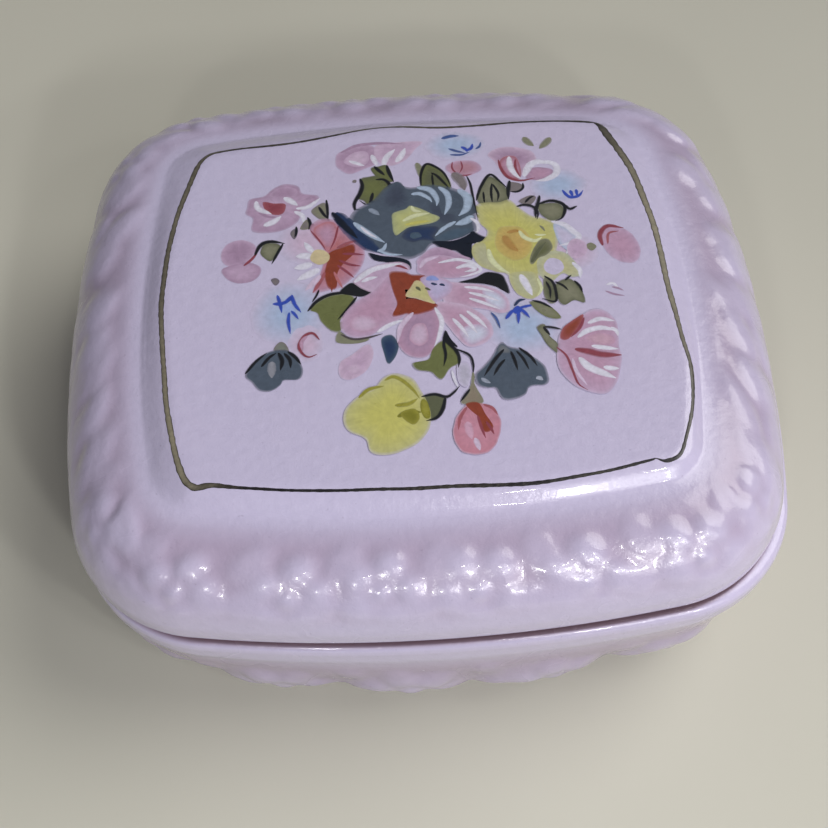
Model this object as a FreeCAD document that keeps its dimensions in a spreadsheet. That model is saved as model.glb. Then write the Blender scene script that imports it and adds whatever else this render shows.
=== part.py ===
import FreeCAD, Part
import math
import os
import Sketcher
from FreeCAD import Vector

# Porcelain trinket box: a lift-off lid on a footed base, both rounded rectangles with bowed sides.
# Millimetres. Origin under the middle of the foot, +X to the right, -Y to the front, +Z up.
# Every outline is eight tangent arcs: four bowed sides and four corners.

doc = FreeCAD.newDocument("trinket_box")

# ---------------------------------------------------------------- driving dimensions

DIMENSIONS = {
    # outline of the base at its rim
    "half_width": 40.0,
    "half_depth": 37.0,
    "bow_front": 165.0,
    "bow_side": 135.0,
    "corner_round": 15.5,
    # base
    "rim_level": 17.75,
    "lip_height": 2.5,
    "lip_inset": 4.1,
    "foot_recess": 1.0,
    "foot_ring": 3.5,
    "rim_edge": 0.6,
    "lip_edge": 0.4,
    # lid
    "lid_shift": 0.8,
    "lid_edge": 0.8,
}

# Where an edge's middle lies, as a share of the way from the axis to the rim outline.
OUTER_EDGES = (0.95, 1.05)
LIP_EDGES = (0.5, 1.0)
LEVEL_SLACK = 0.01

# Cross-sections of the outside of the base, from the foot up.
# Each is name, level, inset from the rim outline, front bow, side bow and corner radius.
BASE_SECTIONS = [
    ("foot", 0.0, 5.9, 86.0, 76.0, 16.0),
    ("under", 2.6, 3.9, 88.0, 78.0, 17.0),
    ("belly", 6.5, 1.3, 100.0, 88.0, 17.0),
    ("waist", 11.5, 0.2, 130.0, 110.0, 16.0),
    ("rim", 17.75, 0.0, 165.0, 135.0, 15.5),
]

# Cross-sections that are plain offsets of the rim outline: name, level and inset.
CAVITY_SECTIONS = [
    ("cavity_bottom", 3.8, 11.5),
    ("cavity_side", 8.5, 7.0),
    ("cavity_wall", 14.0, 5.7),
    ("cavity_top", 20.6, 5.7),
]

LID_SECTIONS = [
    ("lid_seam", 18.0, 0.6),
    ("lid_band", 20.6, 0.5),
    ("lid_shoulder", 23.4, 1.4),
    ("lid_slope", 25.7, 4.0),
    ("lid_crown", 27.0, 7.2),
    ("lid_groove", 27.5, 10.0),
]

PANEL_SECTIONS = [
    ("panel_root", 27.4, 10.3),
    ("panel_bevel", 28.7, 11.0),
    ("panel_top", 29.2, 11.8),
]

HOLLOW_SECTIONS = [
    ("hollow_mouth", 17.9, 2.9),
    ("hollow_side", 21.6, 3.3),
    ("hollow_slope", 24.2, 6.4),
    ("hollow_ceiling", 25.4, 11.0),
]

# ---------------------------------------------------------------- sheet

sheet = doc.addObject("Spreadsheet::Sheet", "sizes")
row = 0


def put(alias, value):
    """Write one dimension into the next row of the sheet."""
    global row
    row += 1
    sheet.set("A%d" % row, alias)
    sheet.set("B%d" % row, str(value))
    sheet.setAlias("B%d" % row, alias)


for alias, value in DIMENSIONS.items():
    put(alias, value)

for name, level, inset, front, side, corner in BASE_SECTIONS:
    put(name + "_height", level)
    put(name + "_inset", inset)
    put(name + "_bow_front", front)
    put(name + "_bow_side", side)
    put(name + "_corner", corner)

for name, level, inset in CAVITY_SECTIONS + LID_SECTIONS + PANEL_SECTIONS + HOLLOW_SECTIONS:
    put(name + "_height", level)
    put(name + "_inset", inset)

doc.recompute()

# ---------------------------------------------------------------- outlines


def corner_centre(half_width, half_depth, bow_front, bow_side, corner):
    """Centre of the corner arc that is tangent inside both bowed sides, in the first quadrant."""
    front_centre = Vector(0, half_depth - bow_front, 0)
    side_centre = Vector(half_width - bow_side, 0, 0)
    reach_front = bow_front - corner
    reach_side = bow_side - corner
    span = side_centre - front_centre
    gap = span.Length
    along = (reach_front ** 2 - reach_side ** 2 + gap ** 2) / (2 * gap)
    across = math.sqrt(reach_front ** 2 - along ** 2)
    direction = span / gap
    normal = Vector(direction.y, -direction.x, 0)
    return front_centre + direction * along + normal * across


def outline_arcs(half_width, half_depth, bow_front, bow_side, corner):
    """The eight arcs of an outline, anticlockwise from the right-hand side."""
    centre = corner_centre(half_width, half_depth, bow_front, bow_side, corner)
    to_side = math.atan2(centre.y, centre.x - (half_width - bow_side))
    to_front = math.atan2(centre.y - (half_depth - bow_front), centre.x)
    right = math.pi
    spans = [
        (Vector(half_width - bow_side, 0, 0), bow_side, -to_side, to_side),
        (centre, corner, to_side, to_front),
        (Vector(0, half_depth - bow_front, 0), bow_front, to_front, right - to_front),
        (Vector(-centre.x, centre.y, 0), corner, right - to_front, right - to_side),
        (Vector(bow_side - half_width, 0, 0), bow_side, right - to_side, right + to_side),
        (Vector(-centre.x, -centre.y, 0), corner, right + to_side, right + to_front),
        (Vector(0, bow_front - half_depth, 0), bow_front, right + to_front, 2 * right - to_front),
        (Vector(centre.x, -centre.y, 0), corner, 2 * right - to_front, 2 * right - to_side),
    ]
    arcs = []
    for middle, radius, start, end in spans:
        circle = Part.Circle(middle, Vector(0, 0, 1), radius)
        arcs.append(Part.ArcOfCircle(circle, start, end))
    return arcs


def origin_plane(body, role):
    """One of a body's own origin planes."""
    for feature in body.Origin.OriginFeatures:
        if feature.Role == role:
            return feature
    raise ValueError(role)


def outline_sketch(body, name, level, half_width, half_depth, bow_front, bow_side, corner):
    """A level sketch of one outline. Each size is an expression of the sheet's cells."""
    sketch = body.newObject("Sketcher::SketchObject", name)
    sketch.AttachmentSupport = [(origin_plane(body, "XY_Plane"), "")]
    sketch.MapMode = "FlatFace"
    sketch.setExpression("AttachmentOffset.Base.z", level)
    sizes = [value_of(text) for text in (half_width, half_depth, bow_front, bow_side, corner)]
    sketch.addGeometry(outline_arcs(*sizes), False)
    for arc in range(8):
        sketch.addConstraint(Sketcher.Constraint("Tangent", arc, 2, (arc + 1) % 8, 1))
    sketch.addConstraint(Sketcher.Constraint("PointOnObject", 0, 3, -1))
    sketch.addConstraint(Sketcher.Constraint("PointOnObject", 2, 3, -2))
    for arc, like in ((4, 0), (6, 2), (3, 1), (5, 1), (7, 1)):
        sketch.addConstraint(Sketcher.Constraint("Equal", like, arc))
    sketch.addConstraint(Sketcher.Constraint("Symmetric", 0, 3, 4, 3, -1, 1))
    sketch.addConstraint(Sketcher.Constraint("Symmetric", 2, 3, 6, 3, -1, 1))
    radii = ((0, "side_radius", bow_side), (2, "front_radius", bow_front), (1, "corner_radius", corner))
    for arc, label, text in radii:
        index = sketch.addConstraint(Sketcher.Constraint("Radius", arc, value_of(text)))
        sketch.renameConstraint(index, label)
        sketch.setExpression("Constraints." + label, text)
    side_offset = "(%s) - (%s)" % (bow_side, half_width)
    front_offset = "(%s) - (%s)" % (bow_front, half_depth)
    index = sketch.addConstraint(Sketcher.Constraint("DistanceX", 0, 3, -1, 1, value_of(side_offset)))
    sketch.renameConstraint(index, "side_offset")
    sketch.setExpression("Constraints.side_offset", side_offset)
    index = sketch.addConstraint(Sketcher.Constraint("DistanceY", 2, 3, -1, 1, value_of(front_offset)))
    sketch.renameConstraint(index, "front_offset")
    sketch.setExpression("Constraints.front_offset", front_offset)
    sketch.Visibility = False
    return sketch


def value_of(text):
    """The value in millimetres of an expression of the sheet's cells."""
    result = sheet.evalExpression(text)
    return float(getattr(result, "Value", result))


def offset_sketch(body, name, level, inset):
    """A level sketch of the rim outline moved inwards by the inset."""
    sizes = []
    for cell in ("half_width", "half_depth", "bow_front", "bow_side", "corner_round"):
        sizes.append("sizes.%s - %s" % (cell, inset))
    return outline_sketch(body, name, level, *sizes)


def section_sketch(body, name):
    """A level sketch of one named section that is a plain offset of the rim outline."""
    return offset_sketch(body, name, "sizes.%s_height" % name, "sizes.%s_inset" % name)


def loft(body, kind, name, sketches):
    """A smooth loft through level sketches."""
    feature = body.newObject(kind, name)
    feature.Profile = sketches[0]
    feature.Sections = sketches[1:]
    feature.Ruled = False
    feature.Closed = False
    doc.recompute()
    return feature


def level_edges(shape, level, band):
    """Names of the edges that lie flat at one level, with their middle in a band of distances from the axis."""
    names = []
    reach_low, reach_high = band
    for number, edge in enumerate(shape.Edges, 1):
        box = edge.BoundBox
        middle = edge.CenterOfMass
        reach = max(abs(middle.x) / value_of("sizes.half_width"), abs(middle.y) / value_of("sizes.half_depth"))
        is_level = abs(box.ZMin - level) < LEVEL_SLACK and abs(box.ZMax - level) < LEVEL_SLACK
        if is_level and reach_low < reach < reach_high:
            names.append("Edge%d" % number)
    return names


def round_edges(body, name, base, edges, radius):
    """A fillet on the named edges, its radius bound to the sheet."""
    feature = body.newObject("PartDesign::Fillet", name)
    feature.Base = (base, edges)
    feature.setExpression("Radius", radius)
    doc.recompute()
    return feature


# ---------------------------------------------------------------- base

def make_base():
    """Bowl with a raised locating lip inside its rim and a ring-shaped foot."""
    body = doc.addObject("PartDesign::Body", "base")
    body.Label = "base"
    sketches = []
    for name, level, inset, front, side, corner in BASE_SECTIONS:
        half_width = "sizes.half_width - sizes.%s_inset" % name
        half_depth = "sizes.half_depth - sizes.%s_inset" % name
        bow_front = "sizes.%s_bow_front" % name
        bow_side = "sizes.%s_bow_side" % name
        corner_text = "sizes.%s_corner" % name
        level_text = "sizes.%s_height" % name
        sketches.append(outline_sketch(body, name, level_text, half_width, half_depth,
                                       bow_front, bow_side, corner_text))
    bowl = loft(body, "PartDesign::AdditiveLoft", "bowl", sketches)
    solid_volume = bowl.Shape.Volume

    lip_sketch = offset_sketch(body, "lip_outline", "sizes.rim_level", "sizes.lip_inset")
    lip = body.newObject("PartDesign::Pad", "locating_lip")
    lip.Profile = lip_sketch
    lip.setExpression("Length", "sizes.lip_height")
    doc.recompute()
    if lip.Shape.Volume <= solid_volume:
        raise ValueError("the locating lip added nothing")

    cavity = loft(body, "PartDesign::SubtractiveLoft", "cavity",
                  [section_sketch(body, name) for name, level, inset in CAVITY_SECTIONS])
    if cavity.Shape.Volume >= lip.Shape.Volume:
        raise ValueError("the cavity removed nothing")

    recess_sizes = ["sizes.half_width - sizes.foot_inset - sizes.foot_ring",
                    "sizes.half_depth - sizes.foot_inset - sizes.foot_ring",
                    "sizes.foot_bow_front - sizes.foot_ring",
                    "sizes.foot_bow_side - sizes.foot_ring",
                    "sizes.foot_corner - sizes.foot_ring"]
    recess_sketch = outline_sketch(body, "recess_outline", "0 mm", *recess_sizes)
    recess = body.newObject("PartDesign::Pocket", "foot_recess")
    recess.Profile = recess_sketch
    recess.setExpression("Length", "sizes.foot_recess")
    recess.Reversed = True
    doc.recompute()
    if recess.Shape.Volume >= cavity.Shape.Volume:
        raise ValueError("the foot recess removed nothing")

    rim = value_of("sizes.rim_level")
    edges = level_edges(recess.Shape, rim, OUTER_EDGES)
    rim_edge = round_edges(body, "rim_rounding", recess, edges, "sizes.rim_edge")
    lip_top = value_of("sizes.rim_level + sizes.lip_height")
    edges = level_edges(rim_edge.Shape, lip_top, LIP_EDGES)
    lip_edge = round_edges(body, "lip_rounding", rim_edge, edges, "sizes.lip_edge")
    body.Tip = lip_edge
    return body


# ---------------------------------------------------------------- lid

def make_lid():
    """Cap with a convex shoulder, a shallow groove and a raised flat panel, hollow underneath."""
    body = doc.addObject("PartDesign::Body", "lid")
    body.Label = "lid"
    shoulder = loft(body, "PartDesign::AdditiveLoft", "shoulder",
                    [section_sketch(body, name) for name, level, inset in LID_SECTIONS])
    panel = loft(body, "PartDesign::AdditiveLoft", "panel",
                 [section_sketch(body, name) for name, level, inset in PANEL_SECTIONS])
    if panel.Shape.Volume <= shoulder.Shape.Volume:
        raise ValueError("the panel added nothing")
    hollow = loft(body, "PartDesign::SubtractiveLoft", "hollow",
                  [section_sketch(body, name) for name, level, inset in HOLLOW_SECTIONS])
    if hollow.Shape.Volume >= panel.Shape.Volume:
        raise ValueError("the hollow removed nothing")
    seam = value_of("sizes.lid_seam_height")
    edges = level_edges(hollow.Shape, seam, OUTER_EDGES)
    lid_edge = round_edges(body, "seam_rounding", hollow, edges, "sizes.lid_edge")
    body.Tip = lid_edge
    # the lid sits a little to the left on the lip, within its play
    body.setExpression("Placement.Base.x", "-sizes.lid_shift")
    return body


bodies = [make_base(), make_lid()]
doc.recompute()

# ---------------------------------------------------------------- checks and export

for item in doc.Objects:
    for state in item.State:
        if state in ("Invalid", "Error"):
            raise ValueError(item.Name + " is " + state)

os.makedirs("parts", exist_ok=True)
for body in bodies:
    shape = body.Shape
    if shape.isNull() or not shape.isValid():
        raise ValueError(body.Label + " has no valid shape")
    box = shape.optimalBoundingBox(False, False)
    print(body.Label, "volume %.1f" % shape.Volume, "solids", len(shape.Solids),
          "x %.2f %.2f y %.2f %.2f z %.2f %.2f" % (box.XMin, box.XMax, box.YMin, box.YMax, box.ZMin, box.ZMax))
    shape.exportStep(os.path.join("parts", body.Label + ".step"))
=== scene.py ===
import math

import bpy
import numpy as np
from mathutils import Matrix, Vector
from mathutils.bvhtree import BVHTree


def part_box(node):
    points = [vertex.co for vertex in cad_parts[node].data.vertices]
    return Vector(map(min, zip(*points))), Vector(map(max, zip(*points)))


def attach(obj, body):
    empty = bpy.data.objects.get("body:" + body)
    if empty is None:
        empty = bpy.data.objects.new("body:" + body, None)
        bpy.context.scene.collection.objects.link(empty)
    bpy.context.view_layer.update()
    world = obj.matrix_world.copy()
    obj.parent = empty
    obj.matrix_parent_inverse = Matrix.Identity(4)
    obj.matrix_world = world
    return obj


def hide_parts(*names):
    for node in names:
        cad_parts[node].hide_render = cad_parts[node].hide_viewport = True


# Looks of the porcelain trinket box: glazed shells with embossed flowers, a painted line and a painted
# bouquet. Shapes are worked out in millimetres, in the frame's axes, and turned into metres in make_piece.

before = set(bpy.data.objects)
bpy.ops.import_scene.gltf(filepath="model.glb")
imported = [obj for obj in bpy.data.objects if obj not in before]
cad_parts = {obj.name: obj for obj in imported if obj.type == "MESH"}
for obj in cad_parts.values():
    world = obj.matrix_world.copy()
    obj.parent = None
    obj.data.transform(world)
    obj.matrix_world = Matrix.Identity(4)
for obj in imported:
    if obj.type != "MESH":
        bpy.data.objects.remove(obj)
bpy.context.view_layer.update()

MM = 0.001
rng = np.random.default_rng(7)

# ---------------------------------------------------------------- measures

lid_low, lid_high = (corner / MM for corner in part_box("lid"))
LID_X = (lid_low.x + lid_high.x) / 2
SEAM = lid_low.z
TOP = lid_high.z
LIP_TOP = (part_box("base")[1] / MM).z
RIM_LEVEL = 17.75

# outline of the base at its rim, which every other outline is an offset or a variant of
HALF_WIDTH = 40.0
HALF_DEPTH = 37.0
BOW_FRONT = 165.0
BOW_SIDE = 135.0
CORNER = 15.5

# points along half of a side, along a corner and along half of the front
SIDE_STEPS = 62
CORNER_STEPS = 60
FRONT_STEPS = 74

# values of "relief", which the glaze's colour follows: 0 in the hollows, 1 on the crests, below 0 where
# painted shade darkens the seam
SMOOTH = 0.9
INSIDE = 0.6
SEAM_SHADE_LEVEL = -1.0

# inset of the lid's edge, and how far the painted shade along the seam reaches up the lid and down the base
LID_EDGE = 0.5
SEAM_SHADE_REACH = 0.3
SEAM_SHADE_DEPTH = 0.4
# how far the painted seam shade takes to fade in on the base, and its strength right under the lid's edge
SEAM_SHADE_BLEND = 0.35
SEAM_SHADE_START = 0.8

# ---------------------------------------------------------------- curves and outlines

def varied(value, less, more=None):
    """A value changed at random: by up to less downwards and more upwards, or by up to less either way."""
    return value + rng.uniform(-less, less if more is None else more)


def slopes(x, y):
    """Slopes at the points of a curve that passes through them without overshooting."""
    step = np.diff(x)
    rise = np.diff(y, axis=0) / step[:, None]
    inner = np.zeros_like(rise[1:])
    same = rise[:-1] * rise[1:] > 0
    weight = (step[1:] + 2 * step[:-1])[:, None]
    other = (2 * step[1:] + step[:-1])[:, None]
    mean = (weight + other) / (weight / np.where(same, rise[:-1], 1) + other / np.where(same, rise[1:], 1))
    inner[same] = mean[same]
    return np.vstack([rise[:1], inner, rise[-1:]])


def through(x, y, where):
    """Values, at where, of the smooth curve through the points (x, y). y may have several columns."""
    x = np.asarray(x, float)
    y = np.asarray(y, float).reshape(len(x), -1)
    slope = slopes(x, y)
    where = np.clip(np.atleast_1d(np.asarray(where, float)), x[0], x[-1])
    left = np.clip(np.searchsorted(x, where, side="right") - 1, 0, len(x) - 2)
    width = (x[left + 1] - x[left])[:, None]
    t = (where - x[left])[:, None] / width
    value = (2 * t**3 - 3 * t**2 + 1) * y[left] + (t**3 - 2 * t**2 + t) * width * slope[left]
    return value + (3 * t**2 - 2 * t**3) * y[left + 1] + (t**3 - t**2) * width * slope[left + 1]


SAMPLES_PER_SPAN = 12


def rounded(points, count, closed=False):
    """A flowing curve through a few points, as count evenly spaced samples."""
    points = np.asarray(points, float)
    if closed:
        ring = np.vstack([points[-2:], points, points[:3]])
    else:
        ring = np.vstack([2 * points[0] - points[1], points, 2 * points[-1] - points[-2]])
    pieces = []
    first, last = (1, len(points) + 1) if closed else (0, len(points) - 1)
    for i in range(first, last):
        a, b, c, d = ring[i:i + 4]
        t = np.linspace(0, 1, SAMPLES_PER_SPAN, endpoint=False)[:, None]
        pieces.append(0.5 * (2 * b + (c - a) * t + (2 * a - 5 * b + 4 * c - d) * t**2
                             + (3 * b - a - 3 * c + d) * t**3))
    dense = np.vstack(pieces + [pieces[0][:1] if closed else points[-1:]])
    run = np.concatenate([[0], np.cumsum(np.linalg.norm(np.diff(dense, axis=0), axis=1))])
    where = np.linspace(0, run[-1], count, endpoint=not closed)
    return np.column_stack([np.interp(where, run, column) for column in dense.T])


def outline(half_width, half_depth, bow_front, bow_side, corner):
    """Four bowed sides and four corner arcs, closed, anticlockwise from the middle of the right side."""
    front_centre = np.array([0.0, half_depth - bow_front])
    side_centre = np.array([half_width - bow_side, 0.0])
    reach_front = bow_front - corner
    reach_side = bow_side - corner
    span = side_centre - front_centre
    gap = np.linalg.norm(span)
    along = (reach_front**2 - reach_side**2 + gap**2) / (2 * gap)
    across = math.sqrt(reach_front**2 - along**2)
    ahead = span / gap
    centre = front_centre + ahead * along + np.array([ahead[1], -ahead[0]]) * across
    to_side = math.atan2(centre[1], centre[0] - side_centre[0])
    to_front = math.atan2(centre[1] - front_centre[1], centre[0])
    quarter = []
    arcs = ((side_centre, bow_side, 0, to_side, SIDE_STEPS),
            (centre, corner, to_side, to_front, CORNER_STEPS),
            (front_centre, bow_front, to_front, math.pi / 2, FRONT_STEPS))
    for middle, radius, start, end, steps in arcs:
        angle = np.linspace(start, end, steps, endpoint=False)
        quarter.append(middle + radius * np.column_stack([np.cos(angle), np.sin(angle)]))
    quarter = np.vstack(quarter + [[[0.0, half_depth]]])
    left = quarter[::-1] * [-1, 1]
    half = np.vstack([quarter[:-1], left[:-1]])
    return np.vstack([half, -half])


AROUND = len(outline(HALF_WIDTH, HALF_DEPTH, BOW_FRONT, BOW_SIDE, CORNER))


SMALLEST_CORNER = 1.0


def rim_outline(inset):
    """The rim's outline, moved inwards."""
    corner = max(CORNER - inset, SMALLEST_CORNER)
    return outline(HALF_WIDTH - inset, HALF_DEPTH - inset, BOW_FRONT - inset, BOW_SIDE - inset, corner)


def profile_rows(table, spacing):
    """Rows of a cross-section (inset, level, ...), smoothed through the table's and evenly spaced."""
    table = np.asarray(table, float)
    run = np.concatenate([[0], np.cumsum(np.hypot(*np.diff(table[:, :2], axis=0).T))])
    count = max(int(run[-1] / spacing) + 1, len(table))
    return through(run, table, np.linspace(0, run[-1], count))


# ---------------------------------------------------------------- relief

def surface_lengths(grid):
    """Distances in millimetres along the rows, from column 0, and up the columns, from row 0."""
    step = np.linalg.norm(np.roll(grid, -1, axis=1) - grid, axis=2)
    around = np.cumsum(step, axis=1) - step
    climb = np.linalg.norm(np.diff(grid, axis=0), axis=2)
    up = np.vstack([np.zeros((1, grid.shape[1])), np.cumsum(climb, axis=0)])
    return around, up, step.sum(axis=1)


def rosette(across, along, size, turn, petals):
    """Height of a flower: a ring of domed petals round a button, from 0 to 1."""
    reach = np.hypot(across, along) / size
    sector = 2 * math.pi / petals
    angle = np.mod(np.arctan2(along, across) - turn, sector) - sector / 2
    out = reach * np.cos(angle)
    side = reach * np.sin(angle)
    middle, half_length, half_width = 0.62, 0.40, 0.60 * math.tan(sector / 2) * 0.92
    dome = 1 - ((out - middle) / half_length)**2 - (side / half_width)**2
    petal = np.maximum(dome, 0)**0.75
    crease_depth, crease_width, crease_end = 0.30, 0.06, 0.85
    petal = petal * (1 - crease_depth * np.exp(-(side / crease_width)**2) * (out < crease_end))
    button_radius = 0.25
    button = 0.95 * np.sqrt(np.maximum(1 - (reach / button_radius)**2, 0))
    return np.maximum(petal * 0.9, button)


def lobe(across, along, width, tall):
    """Height of a broad smooth swelling, from 0 to 1."""
    reach = np.minimum((2 * across / width)**2 + (2 * along / tall)**2, 1)
    return (1 - reach)**0.8


def leaf(across, along, length, width, turn):
    """Height of a pointed leaf with a sunk midrib, from 0 to 1."""
    out = (across * math.cos(turn) + along * math.sin(turn)) / length
    side = (along * math.cos(turn) - across * math.sin(turn)) / (width / 2)
    inside = np.clip(out, 0, 1)
    half = np.sin(math.pi * inside**0.8) + 1e-6
    dome = np.maximum(1 - (side / half)**2, 0)**0.7 * (out > 0) * (out < 1)
    rib_depth, rib_width = 0.38, 0.24
    rib = 1 - rib_depth * np.exp(-(side / rib_width)**2)
    return dome * rib * np.minimum(half * 1.3, 1)


def softened(height, passes):
    """Thick glaze rounds the relief off."""
    for _ in range(passes):
        beside = 0.25 * np.roll(height, 1, axis=1), 0.25 * np.roll(height, -1, axis=1)
        height = beside[0] + 0.5 * height + beside[1]
        padded = np.vstack([height[:1], height, height[-1:]])
        height = 0.25 * padded[:-2] + 0.5 * padded[1:-1] + 0.25 * padded[2:]
    return height


def relief(grid, motifs, passes):
    """Height over a shell's grid of embossed motifs. Each is a kind, a share of the way round, a distance
    up, a height and the kind's own sizes."""
    around, up, total = surface_lengths(grid)
    total = total[:, None]
    height = np.zeros(grid.shape[:2])
    for kind, share, level, tall, *sizes in motifs:
        across = np.mod(around - share * total + total / 2, total) - total / 2
        height = np.maximum(height, tall * kind(across, up - level, *sizes))
    return softened(height, passes)


def normals(grid):
    """Outward normals of a shell's grid."""
    ahead = np.roll(grid, -1, axis=1) - np.roll(grid, 1, axis=1)
    climb = np.gradient(grid, axis=0)
    normal = np.cross(ahead, climb)
    return normal / np.maximum(np.linalg.norm(normal, axis=2, keepdims=True), 1e-12)


def wander(grid, size, seed):
    """Slow unevenness of a hand-finished shell, about -1 to 1, from a few waves through space."""
    draws = np.random.default_rng(seed)
    total = np.zeros(grid.shape[:2])
    wave_count = 6
    for _ in range(wave_count):
        heading = draws.normal(size=3)
        heading *= 2 * math.pi / size / np.linalg.norm(heading)
        total += np.sin(grid @ heading + draws.uniform(0, 2 * math.pi))
    return total / (wave_count / 2)


# ---------------------------------------------------------------- meshes

def make_piece(name, points, faces, material, attributes=None):
    """A mesh object from points in millimetres. attributes holds per-point numbers or colours, by name."""
    mesh = bpy.data.meshes.new(name)
    mesh.from_pydata((np.asarray(points) * MM).tolist(), [], faces)
    mesh.materials.append(material)
    for label, values in (attributes or {}).items():
        values = np.asarray(values, np.float32)
        if values.ndim == 1:
            mesh.attributes.new(label, "FLOAT", "POINT").data.foreach_set("value", values)
        else:
            colours = mesh.color_attributes.new(label, "FLOAT_COLOR", "POINT")
            colours.data.foreach_set("color", values.ravel())
    mesh.shade_smooth()
    mesh.validate()
    mesh.update()
    obj = bpy.data.objects.new(name, mesh)
    bpy.context.scene.collection.objects.link(obj)
    return obj


def ring_faces(rows, around):
    """Quads between neighbouring rings."""
    faces = []
    for row in range(rows - 1):
        low = row * around
        for k in range(around):
            after = (k + 1) % around
            faces.append((low + k, low + after, low + around + after, low + around + k))
    return faces


def fan_faces(first, around, centre, flip=False):
    """Triangles between the ring that starts at first and a point."""
    faces = []
    for k in range(around):
        a, b = first + k, first + (k + 1) % around
        faces.append((b, a, centre) if flip else (a, b, centre))
    return faces


def shell(name, grid, material, body, attributes, cap_start=False, cap_end=False):
    """A piece made of stacked rings, closed to a point at either end where asked."""
    rows, around = grid.shape[:2]
    points = grid.reshape(-1, 3)
    values = {label: value.reshape(-1) for label, value in attributes.items()}
    faces = ring_faces(rows, around)
    for wanted, row, flip in ((cap_start, 0, True), (cap_end, rows - 1, False)):
        if not wanted:
            continue
        centre = len(points)
        points = np.vstack([points, grid[row].mean(axis=0)])
        for label, value in values.items():
            values[label] = np.append(value, attributes[label][row].mean())
        faces += fan_faces(row * around, around, centre, flip)
    obj = make_piece(name, points, faces, material, values)
    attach(obj, body)
    return obj


# ---------------------------------------------------------------- materials

def linear(red, green, blue):
    """A colour given on the usual 0 to 255 scale, as the light values that the shader takes."""
    share = np.array([red, green, blue]) / 255
    light = np.where(share <= 0.04045, share / 12.92, ((share + 0.055) / 1.055)**2.4)
    return tuple(light.tolist()) + (1.0,)


def new_material(name):
    """A material and its node tree's parts."""
    material = bpy.data.materials.new(name)
    material.use_nodes = True
    nodes = material.node_tree.nodes
    return material, nodes, material.node_tree.links, nodes["Principled BSDF"]


def noise(nodes, links, scale, detail=3.0, roughness=0.5):
    """A noise texture in object space, in repeats per metre."""
    place = nodes.new("ShaderNodeTexCoord")
    texture = nodes.new("ShaderNodeTexNoise")
    texture.inputs["Scale"].default_value = scale
    texture.inputs["Detail"].default_value = detail
    texture.inputs["Roughness"].default_value = roughness
    links.new(place.outputs["Object"], texture.inputs["Vector"])
    return texture.outputs["Fac"]


def ramp(nodes, links, source, stops):
    """A colour ramp over a number. Each stop is a position and a colour."""
    node = nodes.new("ShaderNodeValToRGB")
    elements = node.color_ramp.elements
    while len(elements) < len(stops):
        elements.new(0.5)
    for element, (position, colour) in zip(elements, stops):
        element.position = position
        element.color = colour
    links.new(source, node.inputs["Fac"])
    return node.outputs["Color"]


def spread(nodes, links, source, low, high, to_low, to_high):
    """A number moved from one range to another."""
    node = nodes.new("ShaderNodeMapRange")
    node.inputs["From Min"].default_value = low
    node.inputs["From Max"].default_value = high
    node.inputs["To Min"].default_value = to_low
    node.inputs["To Max"].default_value = to_high
    links.new(source, node.inputs["Value"])
    return node.outputs["Result"]


def mixed(nodes, links, kind, share, first, second):
    """Two colours combined. Each value is given as such or as an output."""
    node = nodes.new("ShaderNodeMix")
    node.data_type = "RGBA"
    node.blend_type = kind
    colour_a, colour_b = 6, 7
    for key, value in (("Factor", share), (colour_a, first), (colour_b, second)):
        socket = node.inputs[key]
        if isinstance(value, bpy.types.NodeSocket):
            links.new(value, socket)
        else:
            socket.default_value = value
    colour_result = 2
    return node.outputs[colour_result]


def bumps(nodes, links, source, height, surface):
    """Fine bumps of a height in metres on a surface shader."""
    node = nodes.new("ShaderNodeBump")
    node.inputs["Strength"].default_value = 1.0
    node.inputs["Distance"].default_value = height
    links.new(source, node.inputs["Height"])
    links.new(node.outputs["Normal"], surface.inputs["Normal"])


GLAZE_LIGHT = linear(210, 204, 233)
GLAZE_PINK = linear(208, 198, 225)
GLAZE_DEEP = linear(166, 144, 168)
# dark brown painted shade for the narrow gap under the lid's edge
SEAM_SHADE_COLOUR = linear(100, 72, 78)
GLAZE_SPECK = linear(128, 112, 140)
BISQUE_LIGHT = linear(214, 200, 190)
BISQUE_DARK = linear(192, 174, 164)
WHITE_LIGHT = (1, 1, 1, 1)


def grey(value):
    """An even grey, as light values."""
    return (value, value, value, 1)


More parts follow.
